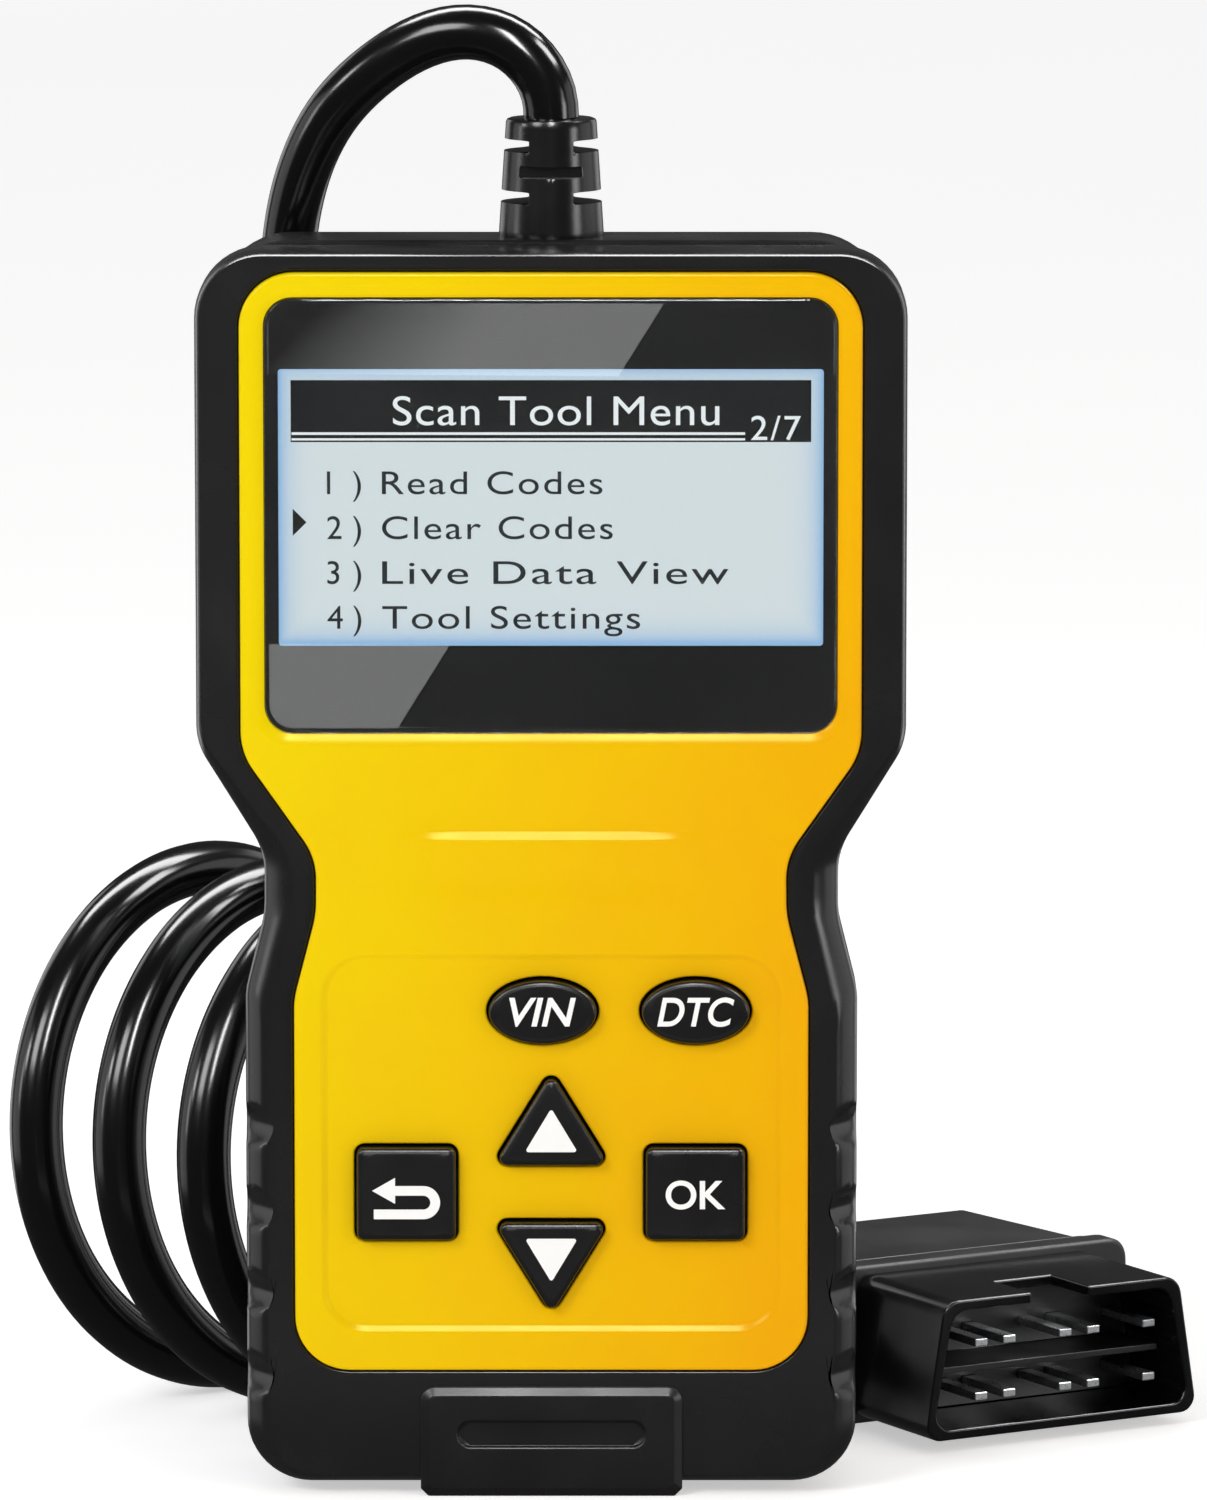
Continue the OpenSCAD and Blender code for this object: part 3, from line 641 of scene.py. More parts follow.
def arrow_corners(base, way, half=6.75, tall=11, radius=0.9):
    """A triangle on its base's middle that points up (way 1) or down (way -1), always drawn one way."""
    corners = np.array([[base[0] - half, base[1], radius], [base[0] + half, base[1], radius],
                        [base[0], base[1] + way * tall, radius]])
    return corners if way > 0 else corners[::-1]


key_lines = {
    "vin": oval([-1, 57.9], [6.3, 3.75]),
    "dtc": oval([16.9, 57.9], [6.3, 3.75]),
    "up": rounded(arrow_corners([0, 39.7], 1))[0],
    "down": rounded(arrow_corners([0, 32.9], -1))[0],
    "ok": rounded(box_corners([16.9, 36.3], [5.8, 5.5], 0.9))[0],
    "back": rounded(box_corners([-17, 36.3], [5.8, 5.5], 0.9))[0],
}
key_holes = [inset(line, -key_gap) for line in key_lines.values()]

# %% [markdown]
# ## Front shell
# The front shell is one thin moulding: a flat rim round the cover, a slope from the rim's crease down
# to the sides, and a room behind. It is one chain of rings from the seat of the cover, over the rim
# and round the sides, to the room inside, closed by two filled faces with holes. The slope follows a
# parabola: it leaves the crease sharply and runs into the side without an edge.
# Four scoops a side give the fingers a grip. A slanted round cutter makes them in the mould, so each
# point near one is moved inwards to the cutter's surface.

# %% Front shell
scoop_radius = 2.5
scoop_heights = 14.3 + 9.9 * np.arange(4)
scoop_slope = 6 / 9


def scooped(points):
    """Points moved inwards to the near side of each slanted round cutter, with a slightly soft edge."""
    soft = 0.22
    x, y, z = points.T.copy()
    middle = 34.4 + scoop_slope * (y + 13)
    stretch = math.hypot(1, scoop_slope)
    for height in scoop_heights:
        offset = np.clip(1 - ((z - height) / scoop_radius) ** 2, 0, None)
        wall = np.where(offset > 0, middle - scoop_radius * stretch * np.sqrt(offset), 99)
        over = np.abs(x) - wall
        bite = np.where(over > -4 * soft, soft * np.logaddexp(0, over / soft), 0)
        x = np.sign(x) * (np.abs(x) - bite)
    return np.stack([x, y, z], 1)


def mix(a, b, share):
    """A point-by-point blend of two outlines."""
    return a * (1 - share) + b * share


seat_line = inset(face_line, -0.2)
slope_depth = -7.6
slope = np.linspace(0, 1, 12)
slope_y = rim_front + (slope_depth - rim_front) * slope
slope_share = 1 - ((slope_depth - slope_y) / (slope_depth - rim_front)) ** 2
front_rings = [ring(seat_line, face_seat), *round_over(seat_line, rim_front, 0.25, 3, turn_in=-1)]
rim_inner = inset(seat_line, -0.25)
front_rings += [ring(mix(rim_inner, rim_line, s), rim_front) for s in (0.3, 0.6, 0.85)]
front_rings += [ring(inset(rim_line, 0.12), rim_front)]
front_rings += [ring(mix(rim_line, side_line, s), y) for s, y in zip(slope_share[1:], slope_y[1:])]
front_rings += [ring(side_line, y) for y in np.linspace(slope_depth, seam - 0.3, 9)[1:]]
front_rings += [ring(inset(side_line, 0.25), seam), ring(room_line, seam), ring(room_line, wall_back)]
front_skin, front_faces = loft(front_rings)

view_middle = [0, 117.1]
window_hole = rounded(box_corners(view_middle, [32.4, 16.9], 0.8))[0]
front_holes = [window_hole, *key_holes]
front_skins = [(scooped(front_skin), front_faces), fill(seat_line, face_seat, front_holes),
               fill(room_line, wall_back, front_holes)]
front_skins += [loft([ring(hole, face_seat), ring(hole, wall_back)]) for hole in front_holes]
make_piece("front_shell", front_skins, case_abs, replaces=["front_housing"])

# %% [markdown]
# ## Rear shell
# The rear shell is narrower than the front, so a band of it shows above the rim. Its back edge is a
# quarter of an ellipse. A shallow recess takes the label, and four deep bores take the screws, with a
# boss round each one inside.

# %% Rear shell
case_screws = [[-30.5, 138.9], [30.5, 138.9], [-24.5, 10.5], [24.5, 10.5]]
bores = [oval(p, [2.9, 2.9], 40) for p in case_screws]
bosses = [oval(p, [3.9, 3.9], 40) for p in case_screws]
label_line = rounded(box_corners([0, 74], [22.2, 34.2], 2.2))[0]
edge_angle = np.linspace(0, np.pi / 2, 10)
rear_floor, label_depth, bore_end = 10.8, 0.3, 5
rear_inner = [(4.2, rear_floor), (2.2, 8.6), (2.2, seam), (0.2, seam)]
rear_rings = [ring(inset(rear_line, d), y) for d, y in rear_inner]
rear_rings += [ring(rear_line, seam + 0.2)]
rear_rings += [ring(rear_line, y) for y in (1, 3, 5, 7)]
rear_rings += [ring(inset(rear_line, 3.5 * (1 - math.cos(a))), 9 + 4 * math.sin(a)) for a in edge_angle]
rear_skins = [loft(rear_rings), fill(inset(rear_line, 4.2), rear_floor, bosses),
              fill(inset(rear_line, 3.5), case_back, [label_line, *bores]),
              loft([ring(label_line, case_back), ring(label_line, case_back - label_depth)]),
              fill(label_line, case_back - label_depth)]
for bore, boss in zip(bores, bosses):
    rear_skins += [loft([ring(bore, case_back), ring(bore, bore_end)]), fill(bore, bore_end),
                   loft([ring(boss, rear_floor), ring(boss, seam)]), fill(boss, seam)]
make_piece("rear_shell", rear_skins, case_abs, replaces=["rear_housing"])

# %% [markdown]
# ## Yellow cover
# The cover lies in the rim with a thin gap all round. Its edges and the edges of its openings are
# rounded over, because it is these small radii that catch the light and make plastic look real. Round
# the window the face slopes in, so that it frames the glass with a lighter and a darker border. The
# keys lie in a shallow panel. Above it, a ledge crosses the waist: a shaped dent in the flat face, made
# by moving the extra points there.

# %% Yellow cover
window_middle = [0, 116.15]
lens_line = rounded(box_corners(window_middle, [33.4, 25.55], 3.4))[0]
panel_line = rounded(box_corners([0, 42.2], [26.6, 22.1], 4.8))[0]
ledge_height, ledge_tall = 79.1, 0.95


def with_ledge(points):
    """A dent that is deepest just above the ledge and fades upwards, and a wider soft dip under it."""
    x, y, z = points.T.copy()
    fade = np.clip((19 - np.abs(x)) / 9, 0, 1)
    fade = fade * fade * (3 - 2 * fade)
    above = np.where(z > ledge_height, np.exp(-((z - ledge_height) / 4.2) ** 2), 0)
    lip = np.clip((z - ledge_height + ledge_tall) / ledge_tall, 0, 1) * (z <= ledge_height)
    below = np.exp(-((z - 73.5) / 2.2) ** 2)
    y = np.where(y < face_front + 0.01, y + fade * (0.5 * (above + lip) + 0.3 * below), y)
    return np.stack([x, y, z], 1)


fine_x = np.linspace(-20, 20, 61)
fine_z = np.concatenate([np.linspace(66.5, 78, 24), ledge_height + ledge_tall * np.linspace(-1, 0, 7),
                         [ledge_height + 0.03], np.linspace(79.4, 86, 18)])
ledge_points = np.stack(np.meshgrid(fine_x, fine_z), -1).reshape(-1, 2)

cover_ease, window_ease, panel_ease, hole_ease = 0.45, 1.5, 0.55, 0.25
window_drop = 0.42
panel_outer = inset(panel_line, -panel_ease)
hole_tops = [inset(hole, -hole_ease) for hole in key_holes]
cover_rings = [ring(face_line, face_seat), *round_over(face_line, face_front, cover_ease)]
panel_turn = np.linspace(0, 1, 9)
lens_rings = [ring(lens_line, face_seat)]
lens_rings += [ring(inset(lens_line, -window_ease * t), face_front + window_drop * (1 - t) ** 1.6)
               for t in panel_turn]
panel_drop = panel_floor - face_front
panel_rings = [ring(inset(panel_outer, 2 * panel_ease * t), face_front + panel_drop * (3 * t**2 - 2 * t**3))
               for t in panel_turn]
cover_top, cover_top_faces = fill(inset(face_line, cover_ease), face_front,
                                  [inset(lens_line, -window_ease), panel_outer], ledge_points)
cover_skins = [loft(cover_rings), loft(lens_rings), loft(panel_rings),
               (with_ledge(cover_top), cover_top_faces),
               fill(inset(panel_outer, 2 * panel_ease), panel_floor, hole_tops),
               fill(face_line, face_seat, [lens_line, *key_holes])]
for hole in key_holes:
    rim_of_hole = round_over(hole, panel_floor, hole_ease, 3, turn_in=-1)
    cover_skins.append(loft([ring(hole, face_seat), *rim_of_hole]))
make_piece("yellow_cover", cover_skins, cover_abs, replaces=["faceplate"])

# %% [markdown]
# ## Window, printed border and display
# The window is a clear plate with a polished, eased edge. Black ink on its back hides everything but
# the display. The display is a flat grid of points, so that each point can carry how near the edge it
# is, and the finish reads that to tint the border blue.

# %% Window and printed border
pane_front, pane_back, border_front = -11.6, -10.52, -10.5
pane_line = rounded(box_corners(window_middle, [33.3, 25.45], 3.3))[0]
pane_flat = inset(pane_line, 0.6)
opening = rounded(box_corners(view_middle, [31.7, 16.2], 0.4))[0]
pane_skins = [loft([ring(pane_line, pane_back), *round_over(pane_line, pane_front, 0.3, 4),
                    ring(pane_flat, pane_front)]),
              fill(pane_flat, pane_front), fill(pane_line, pane_back)]
make_piece("window_pane", pane_skins, window_acrylic, replaces=["display_lens"])
make_piece("window_border", plate(pane_line, border_front, face_seat - 0.02, holes=[opening]),
           window_print, replaces=["lens_mask"])

# %% [markdown]
# The display's front is rows of points. The walls and the back are made from the points on its rim.

# %% Display
view_low, view_high, view_half = 100.9, 133.3, 31.7
glass_front, glass_back, glass_half, glass_low, glass_high = -7.9, -5.8, 34, 98.4, 134.6
fade_width = 1.1


def display_panel(finish, columns=120, rows=70):
    """A slab whose front is a grid. Its edge attribute is 1 at the border of the view and fades inwards."""
    gx, gz = np.meshgrid(np.linspace(-glass_half, glass_half, columns),
                         np.linspace(glass_low, glass_high, rows))
    front = np.stack([gx, np.full_like(gx, glass_front), gz], -1).reshape(-1, 3)
    start = (np.arange(rows - 1)[:, None] * columns + np.arange(columns - 1)[None, :]).reshape(-1)
    faces = np.stack([start, start + 1, start + columns + 1, start + columns], 1).tolist()
    last_row = columns * (rows - 1)
    rim = [*range(0, columns - 1), *range(columns - 1, last_row + columns - 1, columns),
           *range(last_row + columns - 1, last_row, -1), *range(last_row, 0, -columns)]
    rim_ring = front[rim]
    wall = loft([rim_ring, rim_ring + [0, glass_back - glass_front, 0]])
    back = fill(rim_ring[:, [0, 2]], glass_back)
    panel = make_piece("display_panel", [(front, faces), wall, back], finish,
                       replaces=["lcd_glass"])
    at = np.empty(len(panel.data.vertices) * 3)
    panel.data.vertices.foreach_get("co", at)
    at = at.reshape(-1, 3) / MM
    margin = np.minimum(view_half - np.abs(at[:, 0]), np.minimum(at[:, 2] - view_low, view_high - at[:, 2]))
    edge = np.exp(-np.clip(margin, 0, None) / fade_width)
    panel.data.attributes.new("edge", "FLOAT", "POINT").data.foreach_set("value", edge)


display_panel(display_glow)

# %% [markdown]
# ## Lettering
# Words come from Blender's built-in font: a text curve is turned into a mesh, stood upright and put in
# its place. A slant and a little extra weight give the key legends the look of printed italics. The
# menu words are plain ones that any such tool could show.

# %% Lettering
def lettering(text, size, at, width=None, weight=0.0, slant=0.0, spacing=1.0, thick=0.04):
    """Text as a thin closed skin: at is its left end and baseline, and its front's depth."""
    words = bpy.data.curves.new("words", "FONT")
    words.body = text
    words.size = size
    words.extrude = thick / 2
    words.offset = weight
    words.shear = slant
    words.space_character = spacing
    holder = bpy.data.objects.new("words", words)
    scene.collection.objects.link(holder)
    bpy.context.view_layer.update()
    mesh = bpy.data.meshes.new_from_object(holder.evaluated_get(bpy.context.evaluated_depsgraph_get()))
    points = np.empty(len(mesh.vertices) * 3)
    mesh.vertices.foreach_get("co", points)
    points = points.reshape(-1, 3)
    faces = [list(face.vertices) for face in mesh.polygons]
    bpy.data.objects.remove(holder)
    left, right = points[:, 0].min(), points[:, 0].max()
    stretch = 1 if width is None else width / (right - left)
    x = (points[:, 0] - left) * stretch + at[0]
    return np.stack([x, at[1] + thick / 2 - points[:, 2], at[2] + points[:, 1]], 1), faces


def bar(low_x, high_x, low_z, high_z, front, thick=0.04):
    """A thin rectangle for lines and blocks on the display."""
    outline = np.array([[high_x, low_z], [high_x, high_z], [low_x, high_z], [low_x, low_z]])
    return plate(outline, front, front + thick)


mark_front = -7.95
title_front = mark_front - 0.05
band = bar(-30.3, 30.3, 124.5, 131.75, mark_front)
pointer = np.array([[-30.1, 113.5], [-28.5, 115.1], [-30.1, 116.7]])
menu = ["Read Codes", "Clear Codes", "Live Data View", "Tool Settings"]
menu_widths = [25.7, 26.9, 40.4, 30.1]
menu_base, menu_step = 118.4, 5.27
dark_skins = [*band, *plate(pointer, mark_front, mark_front + 0.04)]
text_skins = []
for i, (words, width) in enumerate(zip(menu, menu_widths)):
    height = menu_base - menu_step * i
    text_skins.append(lettering(f"{i + 1}", 3.9, [-26.1, mark_front, height]))
    text_skins.append(lettering(")", 3.9, [-23.1, mark_front, height]))
    text_skins.append(lettering(words, 3.9, [-19.7, mark_front, height], spacing=1.1, width=width))
pale_skins = [lettering("Scan Tool Menu", 4.9, [-18.4, title_front, 126.5], spacing=1.05, width=38.0),
              lettering("2/7", 4.1, [23.3, title_front, 124.75], spacing=1.1, width=5.8),
              *bar(-30.2, 22.6, 125.35, 125.65, title_front), *bar(-30.2, 22.6, 124.7, 124.95, title_front)]
make_piece("display_band", dark_skins, mark_dark)
make_piece("display_text", text_skins, mark_text)
make_piece("display_title", pale_skins, mark_pale)

# %% [markdown]
# ## Keys
# Each key is a stiff rubber block that stands 1.7 mm out of its panel. Its walls rise straight, its
# edge is rounded and its top is a flat plateau. The legend is ink on the top. Every key is a piece of
# its own and rides on its own body, so that it can be pressed, and its legend rides with it.

# %% Keys
def key_skins(outline, radius=0.55):
    """Walls, a rounded edge, a narrow sloping border and a flat top."""
    top = key_front + 0.12
    edge = round_over(outline, top, radius, 6)
    border = inset(outline, radius + 0.25)
    return [loft([ring(outline, key_back), *edge, ring(border, key_front)]), fill(border, key_front),
            fill(outline, key_back)]


def turn_back_arrow(centre, weight=1.15):
    """A hook that runs right, turns up through a half circle and runs back left, with its arrowhead."""
    angle = np.linspace(-np.pi / 2, np.pi / 2, 24)
    middle, radius, neck, head_half = np.array([2.0, -0.7]), 1.4, -1.3, 1.55
    way = np.stack([np.cos(angle), np.sin(angle)], 1)
    outer, inner = middle + (radius + weight / 2) * way, middle + (radius - weight / 2) * way
    low, high = middle[1] - radius, middle[1] + radius
    head = [[neck, high + weight / 2], [neck, high + head_half], [-4.0, high], [neck, high - head_half],
            [neck, high - weight / 2]]
    outline = np.vstack([[-3.8, low - weight / 2], outer, head, inner[::-1], [-3.8, low + weight / 2]])
    return outline + np.array(centre)


legend_front = key_front - 0.02
legend_back = legend_front + 0.04
legends = {
    "vin": [lettering("VIN", 4.75, [-4.9, legend_front, 56.4], width=7.8, weight=0.08, slant=0.22)],
    "dtc": [lettering("DTC", 4.75, [12.4, legend_front, 56.4], width=9.0, weight=0.08, slant=0.22)],
    "ok": [lettering("OK", 4.7, [13.4, legend_front, 34.7], width=7.0, weight=0.08)],
    "up": plate(rounded(arrow_corners([0, 41.4], 1, 3.1, 5.2, 0.25))[0], legend_front, legend_back),
    "down": plate(rounded(arrow_corners([0, 31.1], -1, 3.1, 5.2, 0.25))[0], legend_front, legend_back),
    "back": plate(turn_back_arrow([-17.0, 36.1]), legend_front, legend_back),
}
for name, outline in key_lines.items():
    make_piece(f"{name}_keytop", key_skins(outline), key_rubber, body=f"{name}_button",
               replaces=[f"{name}_key"])
    make_piece(f"{name}_legend", legends[name], legend_ink, body=f"{name}_button")

# %% [markdown]
# ## Bottom cap
# The cap guards the bottom edge, where the tool is stood down. Its face has a wide sloping border and
# a long finger slot, and a thin foot runs back under the case. The face is made from rings and the
# foot is its side profile carried across the width.

# %% Bottom cap
cap_corners = [[14.5, 0, 0.3], [15.4, 0.9, 0.3], [15.4, 13.1, 1.7], [-15.4, 13.1, 1.7], [-15.4, 0.9, 0.3],
               [-14.5, 0, 0.3]]
cap_line = rounded(cap_corners, arc=14)[0]
slot_line = rounded(box_corners([0, 7.5], [11, 1.5], 1.45), arc=14)[0]
cap_front, cap_back, slot_depth = -12.0, rim_front + 0.02, 0.5
cap_slope = [(0, cap_back), (0, -11.36), (0.06, -11.44), (0.16, -11.5), (0.85, -11.9), (0.95, -11.96),
             (1.1, cap_front)]
slot_slope = [(-0.3, cap_front), (-0.2, cap_front + 0.02), (-0.08, cap_front + 0.1), (0, cap_front + 0.2),
              (0.02, cap_front + slot_depth - 0.1), (0.12, cap_front + slot_depth)]
foot_profile = np.array([[-11.5, 0.05], [9, 0.05], [9, 1.15], [-7.6, 1.15], [-9, 1.3], [-10.1, 1.75],
                         [-11.25, 2.3], [-11.5, 2.3]])
cap_skins = [loft([ring(inset(cap_line, d), y) for d, y in cap_slope]), fill(cap_line, cap_back),
             fill(inset(cap_line, 1.1), cap_front, [inset(slot_line, -0.3)]),
             loft([ring(inset(slot_line, d), y) for d, y in slot_slope]),
             fill(inset(slot_line, 0.12), cap_front + slot_depth)]
cap_skins += [(points[:, [1, 0, 2]], faces) for points, faces in plate(foot_profile, -14.5, 14.5)]
make_piece("bottom_guard", cap_skins, cap_abs, replaces=["bottom_cap"], crease=50)

# %% [markdown]
# ## Pieces eased from the CAD
# Some pieces already have the right shape and only lack the small rounding of a moulded edge. A copy
# of the CAD mesh is merged, its flat faces are joined up, and a Bevel modifier rounds its edges.

# %% Eased copies
def eased(node, name, finish, width, segments=3):
    """A copy of a CAD piece with edges sharper than 30 degrees rounded by the given width in mm."""
    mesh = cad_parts[node].data.copy()
    mesh.name = name
    shape = bmesh.new()
    shape.from_mesh(mesh)
    bmesh.ops.remove_doubles(shape, verts=shape.verts, dist=OPEN_LIMIT)
    bmesh.ops.dissolve_limit(shape, angle_limit=math.radians(1), verts=shape.verts, edges=shape.edges)
    shape.to_mesh(mesh)
    shape.free()
    mesh.shade_smooth()
    mesh.set_sharp_from_angle(angle=math.radians(32))
    mesh.materials.clear()
    piece = place_piece(name, mesh, finish, "reader", [node])
    rounding = piece.modifiers.new("rounding", "BEVEL")
    rounding.width = width * MM
    rounding.segments = segments
    rounding.limit_method = "ANGLE"
    rounding.angle_limit = math.radians(30)
    rounding.harden_normals = True
    print(f"{name}: eased copy with {len(mesh.polygons)} faces")
    return piece


shroud_piece = eased("plug_shroud", "plug_mouth", plug_nylon, 0.3)
insert_piece = eased("plug_insert", "plug_carrier", insert_resin, 0.12, 2)
pins_piece = eased("plug_pins", "plug_blades", pin_tin, 0.16, 2)

# %% [markdown]
# ## Plug hood
# The hood is two shells that meet on a level seam. Each is a rounded section carried from the wide
# flange at the mouth, along the nearly straight body, to the narrow end at the cord. The width and
# height are read off between a few places along the plug, and small steps round the flange's edges.

# %% Plug hood
def hood_half(upper, name, node):
    """Half of the hood: its width, bottom and top are read off between a few places along the plug."""
    seam_level, seam_gap = 9.5, 0.07
    stations = np.concatenate([[20, 20.05, 20.2, 20.5], np.linspace(21, 23.3, 4),
                               [23.7, 23.9, 24, 24.4, 24.6], np.linspace(25.4, 47, 20),
                               np.linspace(47.6, 53.4, 16), [53.8, 54]])
    flat_end = np.interp(stations, [20, 20.05, 20.2, 20.5], [0.5, 0.33, 0.12, 0])
    flat_end = flat_end + np.interp(stations, [23.5, 23.7, 23.9, 24, 24.01], [0, 0.06, 0.2, 0.4, 0])
    flat_end = flat_end + np.interp(stations, [53.4, 54], [0, 0.5])
    places = [20, 24, 24.6, 48, 54]
    wide = np.interp(stations, places, [46, 46, 41, 38, 20])
    narrow = np.interp(stations, places, [44, 44, 38, 35, 18])
    low = np.interp(stations, places, [0, 0, 0.6, 0.8, 2])
    high = np.interp(stations, places, [19.5, 19.5, 19.3, 19, 16.6])
    rings = []
    for y, w, n, lo, hi, e in zip(stations, wide, narrow, low, high, flat_end):
        middle = w + (n - w) * (seam_level - lo) / (hi - lo)
        if upper:
            corners = [[middle / 2 - e, seam_level + seam_gap, 0.2], [n / 2 - e, hi - e, 2.4],
                       [e - n / 2, hi - e, 2.4], [e - middle / 2, seam_level + seam_gap, 0.2]]
        else:
            corners = [[w / 2 - e, lo + e, 2.4], [middle / 2 - e, seam_level - seam_gap, 0.2],
                       [e - middle / 2, seam_level - seam_gap, 0.2], [e - w / 2, lo + e, 2.4]]
        outline, _ = rounded(corners, 8, runs=[6, 12, 6, 12])
        rings.append(in_plug(ring(outline, y)))
    return make_piece(name, [loft(rings, caps=True)], hood_nylon, replaces=[node])


hood_top_piece = hood_half(True, "plug_cover_top", "plug_hood_top")
hood_bottom_piece = hood_half(False, "plug_cover_bottom", "plug_hood_bottom")

# %% [markdown]
# ## Parts that keep their CAD shape
# The parts inside and the screws are seen only when the tool is opened, so their CAD shape is enough.
# Each gets the finish of what it is made of.

# %% Finishes on the CAD nodes
node_finishes = {
    "lcd_frame": can_aluminium, "lcd_backlight": guide_acrylic, "lcd_flex": flex_polyimide,
    "main_board": board_resist, "microcontroller": chip_epoxy, "bus_transceivers": chip_epoxy,
    "power_regulator": chip_epoxy, "capacitors": can_aluminium, "crystal": can_aluminium,
    "buzzer": chip_epoxy, "cable_header": header_nylon, "inner_wires": wire_pvc, "inner_cable": cord_pvc,
    "cable_clamp": header_nylon, "keypad_sheet": sheet_rubber, "switch_domes": screw_zinc,
    "board_screws": screw_zinc, "case_screws": screw_black, "rear_label": label_film,
    "plug_screws": screw_zinc,
}
for node, finish in node_finishes.items():
    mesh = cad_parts[node].data
    mesh.materials.clear()
    mesh.materials.append(finish)

# %% [markdown]

# %% [markdown]
# ## Floor and light
# Glossy black plastic shows almost nothing but what it mirrors, so most lamps here are there for their
# reflections alone. The floor is a matte board that glows a little, so that it stays pale to its far
# end, and it is left out of reflections, because it would turn the black plastic grey.

# %% Floor
mottle_width = 1000 / 3


def pale_floor():
    """A matte painted board, very slightly mottled, with a faint glow that keeps its far end pale."""
    finish, tree, place = new_finish("painted_board")
    tint = blend(tree, clouds(tree, place, mottle_width), "#f4f4f4", "#f0f0f0")
    return sheathe(finish, tree, {"Base Color": tint, "Roughness": 0.9,
                                  "Emission Color": colour("#ffffff"), "Emission Strength": 0.5})


floor_mesh = bpy.data.meshes.new("floor")
floor_half = 8.0
floor_mesh.from_pydata([(-floor_half, -floor_half, 0), (floor_half, -floor_half, 0),
                        (floor_half, floor_half, 0), (-floor_half, floor_half, 0)], [], [(0, 1, 2, 3)])
floor_mesh.materials.append(pale_floor())
floor = bpy.data.objects.new("floor", floor_mesh)
floor.visible_glossy = floor.visible_transmission = False
scene.collection.objects.link(floor)

print("floor is", 2 * floor_half, "m wide")

# %% [markdown]
# The world gives the soft light of a white room. In reflections it is nearly dark, which keeps the
# blacks deep.

# %% World
world = bpy.data.worlds.new("studio")
scene.world = world
world.use_nodes = True
sky = world.node_tree
sky.nodes.clear()
rays = add(sky, "ShaderNodeLightPath")
seen = add(sky, "ShaderNodeMath", {0: rays.outputs["Is Camera Ray"], 1: rays.outputs["Is Diffuse Ray"]},
           operation="MAXIMUM")
soft = add(sky, "ShaderNodeBackground", {"Color": colour("#ffffff"), "Strength": 0.5})
dark = add(sky, "ShaderNodeBackground", {"Color": colour("#ffffff"), "Strength": 0.06})
both = add(sky, "ShaderNodeMixShader", {0: seen.outputs["Value"], 1: dark.outputs["Background"],
                                        2: soft.outputs["Background"]})
add(sky, "ShaderNodeOutputWorld", {"Surface": both.outputs["Shader"]})
print("world nodes:", len(sky.nodes))

# %% [markdown]
# The key lamp at the front left gives the yellow its glow, and a warm fill lights it from the right.
# Each gleam draws one highlight: along the top edges, on the front, down the cord at the left and on
# the plug. The wide dim cards at the sides and the back draw the outline of the black parts.

# %% Lamps
def lamp(name, at, toward, size, glow, tint="#ffffff", seen="glossy"):
    """A soft box that faces a point. It shows in reflections (glossy), lights (diffuse) or does both."""
    light = bpy.data.lights.new(name, "AREA")
    light.shape = "RECTANGLE"
    light.size, light.size_y = size[0] * MM, size[1] * MM
    light.energy = glow * math.pi * light.size * light.size_y
    light.color = colour(tint)[:3]
    box = bpy.data.objects.new(name, light)
    box.location = Vector(at) * MM
    box.rotation_euler = (Vector(toward) - Vector(at)).to_track_quat("-Z", "Y").to_euler()
    box.visible_diffuse = seen != "glossy"
    box.visible_glossy = seen != "diffuse"
    scene.collection.objects.link(box)


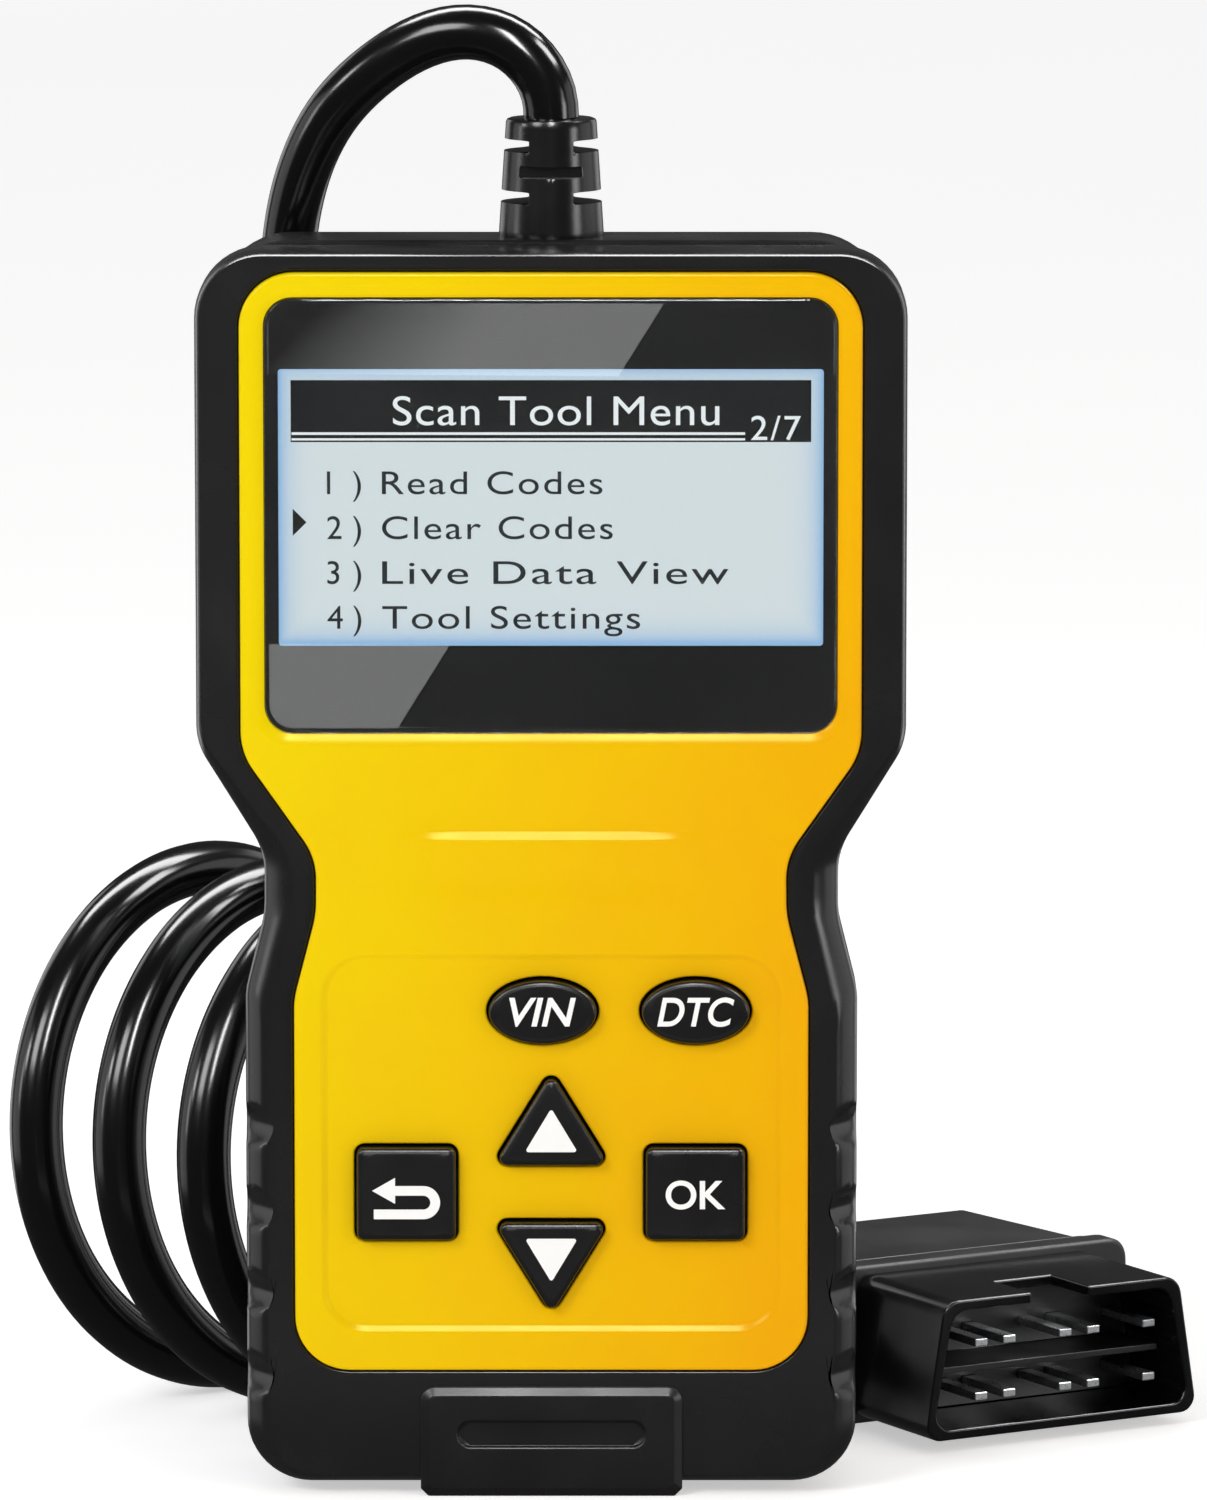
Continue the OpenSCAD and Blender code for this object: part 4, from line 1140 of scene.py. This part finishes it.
lamp("key_lamp", (-650, -800, 700), (0, 0, 80), (420, 420), 10, seen="both")
lamp("fill_lamp", (800, -700, 350), (0, 0, 80), (300, 500), 4, tint="#ffe9c8", seen="diffuse")
lamp("top_gleam", (20, 300, 700), (20, 40, 120), (900, 200), 14)
lamp("front_gleam", (10, -760, 660), (5, -12, 80), (130, 420), 32)
lamp("left_gleam", (-843, -236, 404), (-55, 40, 52), (130, 130), 14)
lamp("left_glow", (-900, -100, 210), (-60, 40, 40), (120, 200), 4)
lamp("right_gleam", (694, -402, 206), (0, 0, 90), (120, 240), 3)
lamp("left_card", (-700, 100, 120), (0, 0, 90), (500, 500), 0.9)
lamp("right_card", (700, 100, 120), (0, 0, 90), (500, 500), 0.9)
lamp("left_back_card", (-480, 620, 160), (0, 0, 90), (360, 700), 1.2)
lamp("right_back_card", (520, 620, 160), (0, 0, 90), (360, 700), 1.2)
lamp("plug_gleam", (670, -390, 110), (60, 20, 10), (240, 240), 4)
lamp("plug_edge_gleam", (613, -41, 718), (60, 20, 10), (300, 300), 16)
print("lamps:", len(bpy.data.lights))

# %% [markdown]
# A flat window mirrors only what lies in front and below. Glowing cards lie there on the floor, seen
# in reflections only. The slanted edge of a pair of them draws a slanted edge across the window's
# border, and they fade away from that edge, as the reflection of a real window does. A third one, close
# by and dim, keeps the lower front of the case from going flat black.

# %% Cards on the floor
def floor_card(name, start, end, reach, bright, faint, even=0.0):
    """A card to the left of its edge from start to end. Its glow is even, then fades over reach."""
    start, end = np.array(start, float), np.array(end, float)
    run = (end - start) / np.linalg.norm(end - start)
    across = np.array([-run[1], run[0]])
    finish, tree, place = new_finish(f"{name}_light")
    away = add(tree, "ShaderNodeVectorMath", {0: place, 1: (*(across / (reach * MM)), 0)},
               operation="DOT_PRODUCT")
    edge = float(start @ across + even) / reach
    fade = spread(tree, away.outputs["Value"], bright, faint, edge, edge + 1)
    light = add(tree, "ShaderNodeEmission", {"Strength": fade})
    close_finish(tree, light.outputs["Emission"])
    far_side = across * (even + 2 * reach)
    mesh = bpy.data.meshes.new(name)
    mesh.from_pydata([(*(c * MM), 0.0005) for c in (start, end, end + far_side, start + far_side)], [],
                     [(0, 1, 2, 3)])
    mesh.materials.append(finish)
    card = bpy.data.objects.new(name, mesh)
    card.visible_camera = card.visible_diffuse = card.visible_shadow = False
    scene.collection.objects.link(card)


floor_card("low_glare", (-23.5, -783), (-32.8, -642), 45, 2.0, 0.05, even=42)
floor_card("high_glare", (24.8, -1513), (9.7, -1284), 45, 2.0, 0.05, even=42)
floor_card("front_card", (70, -75), (-70, -75), 55, 0.5, 0.1)
scene.view_settings.view_transform = "Standard"
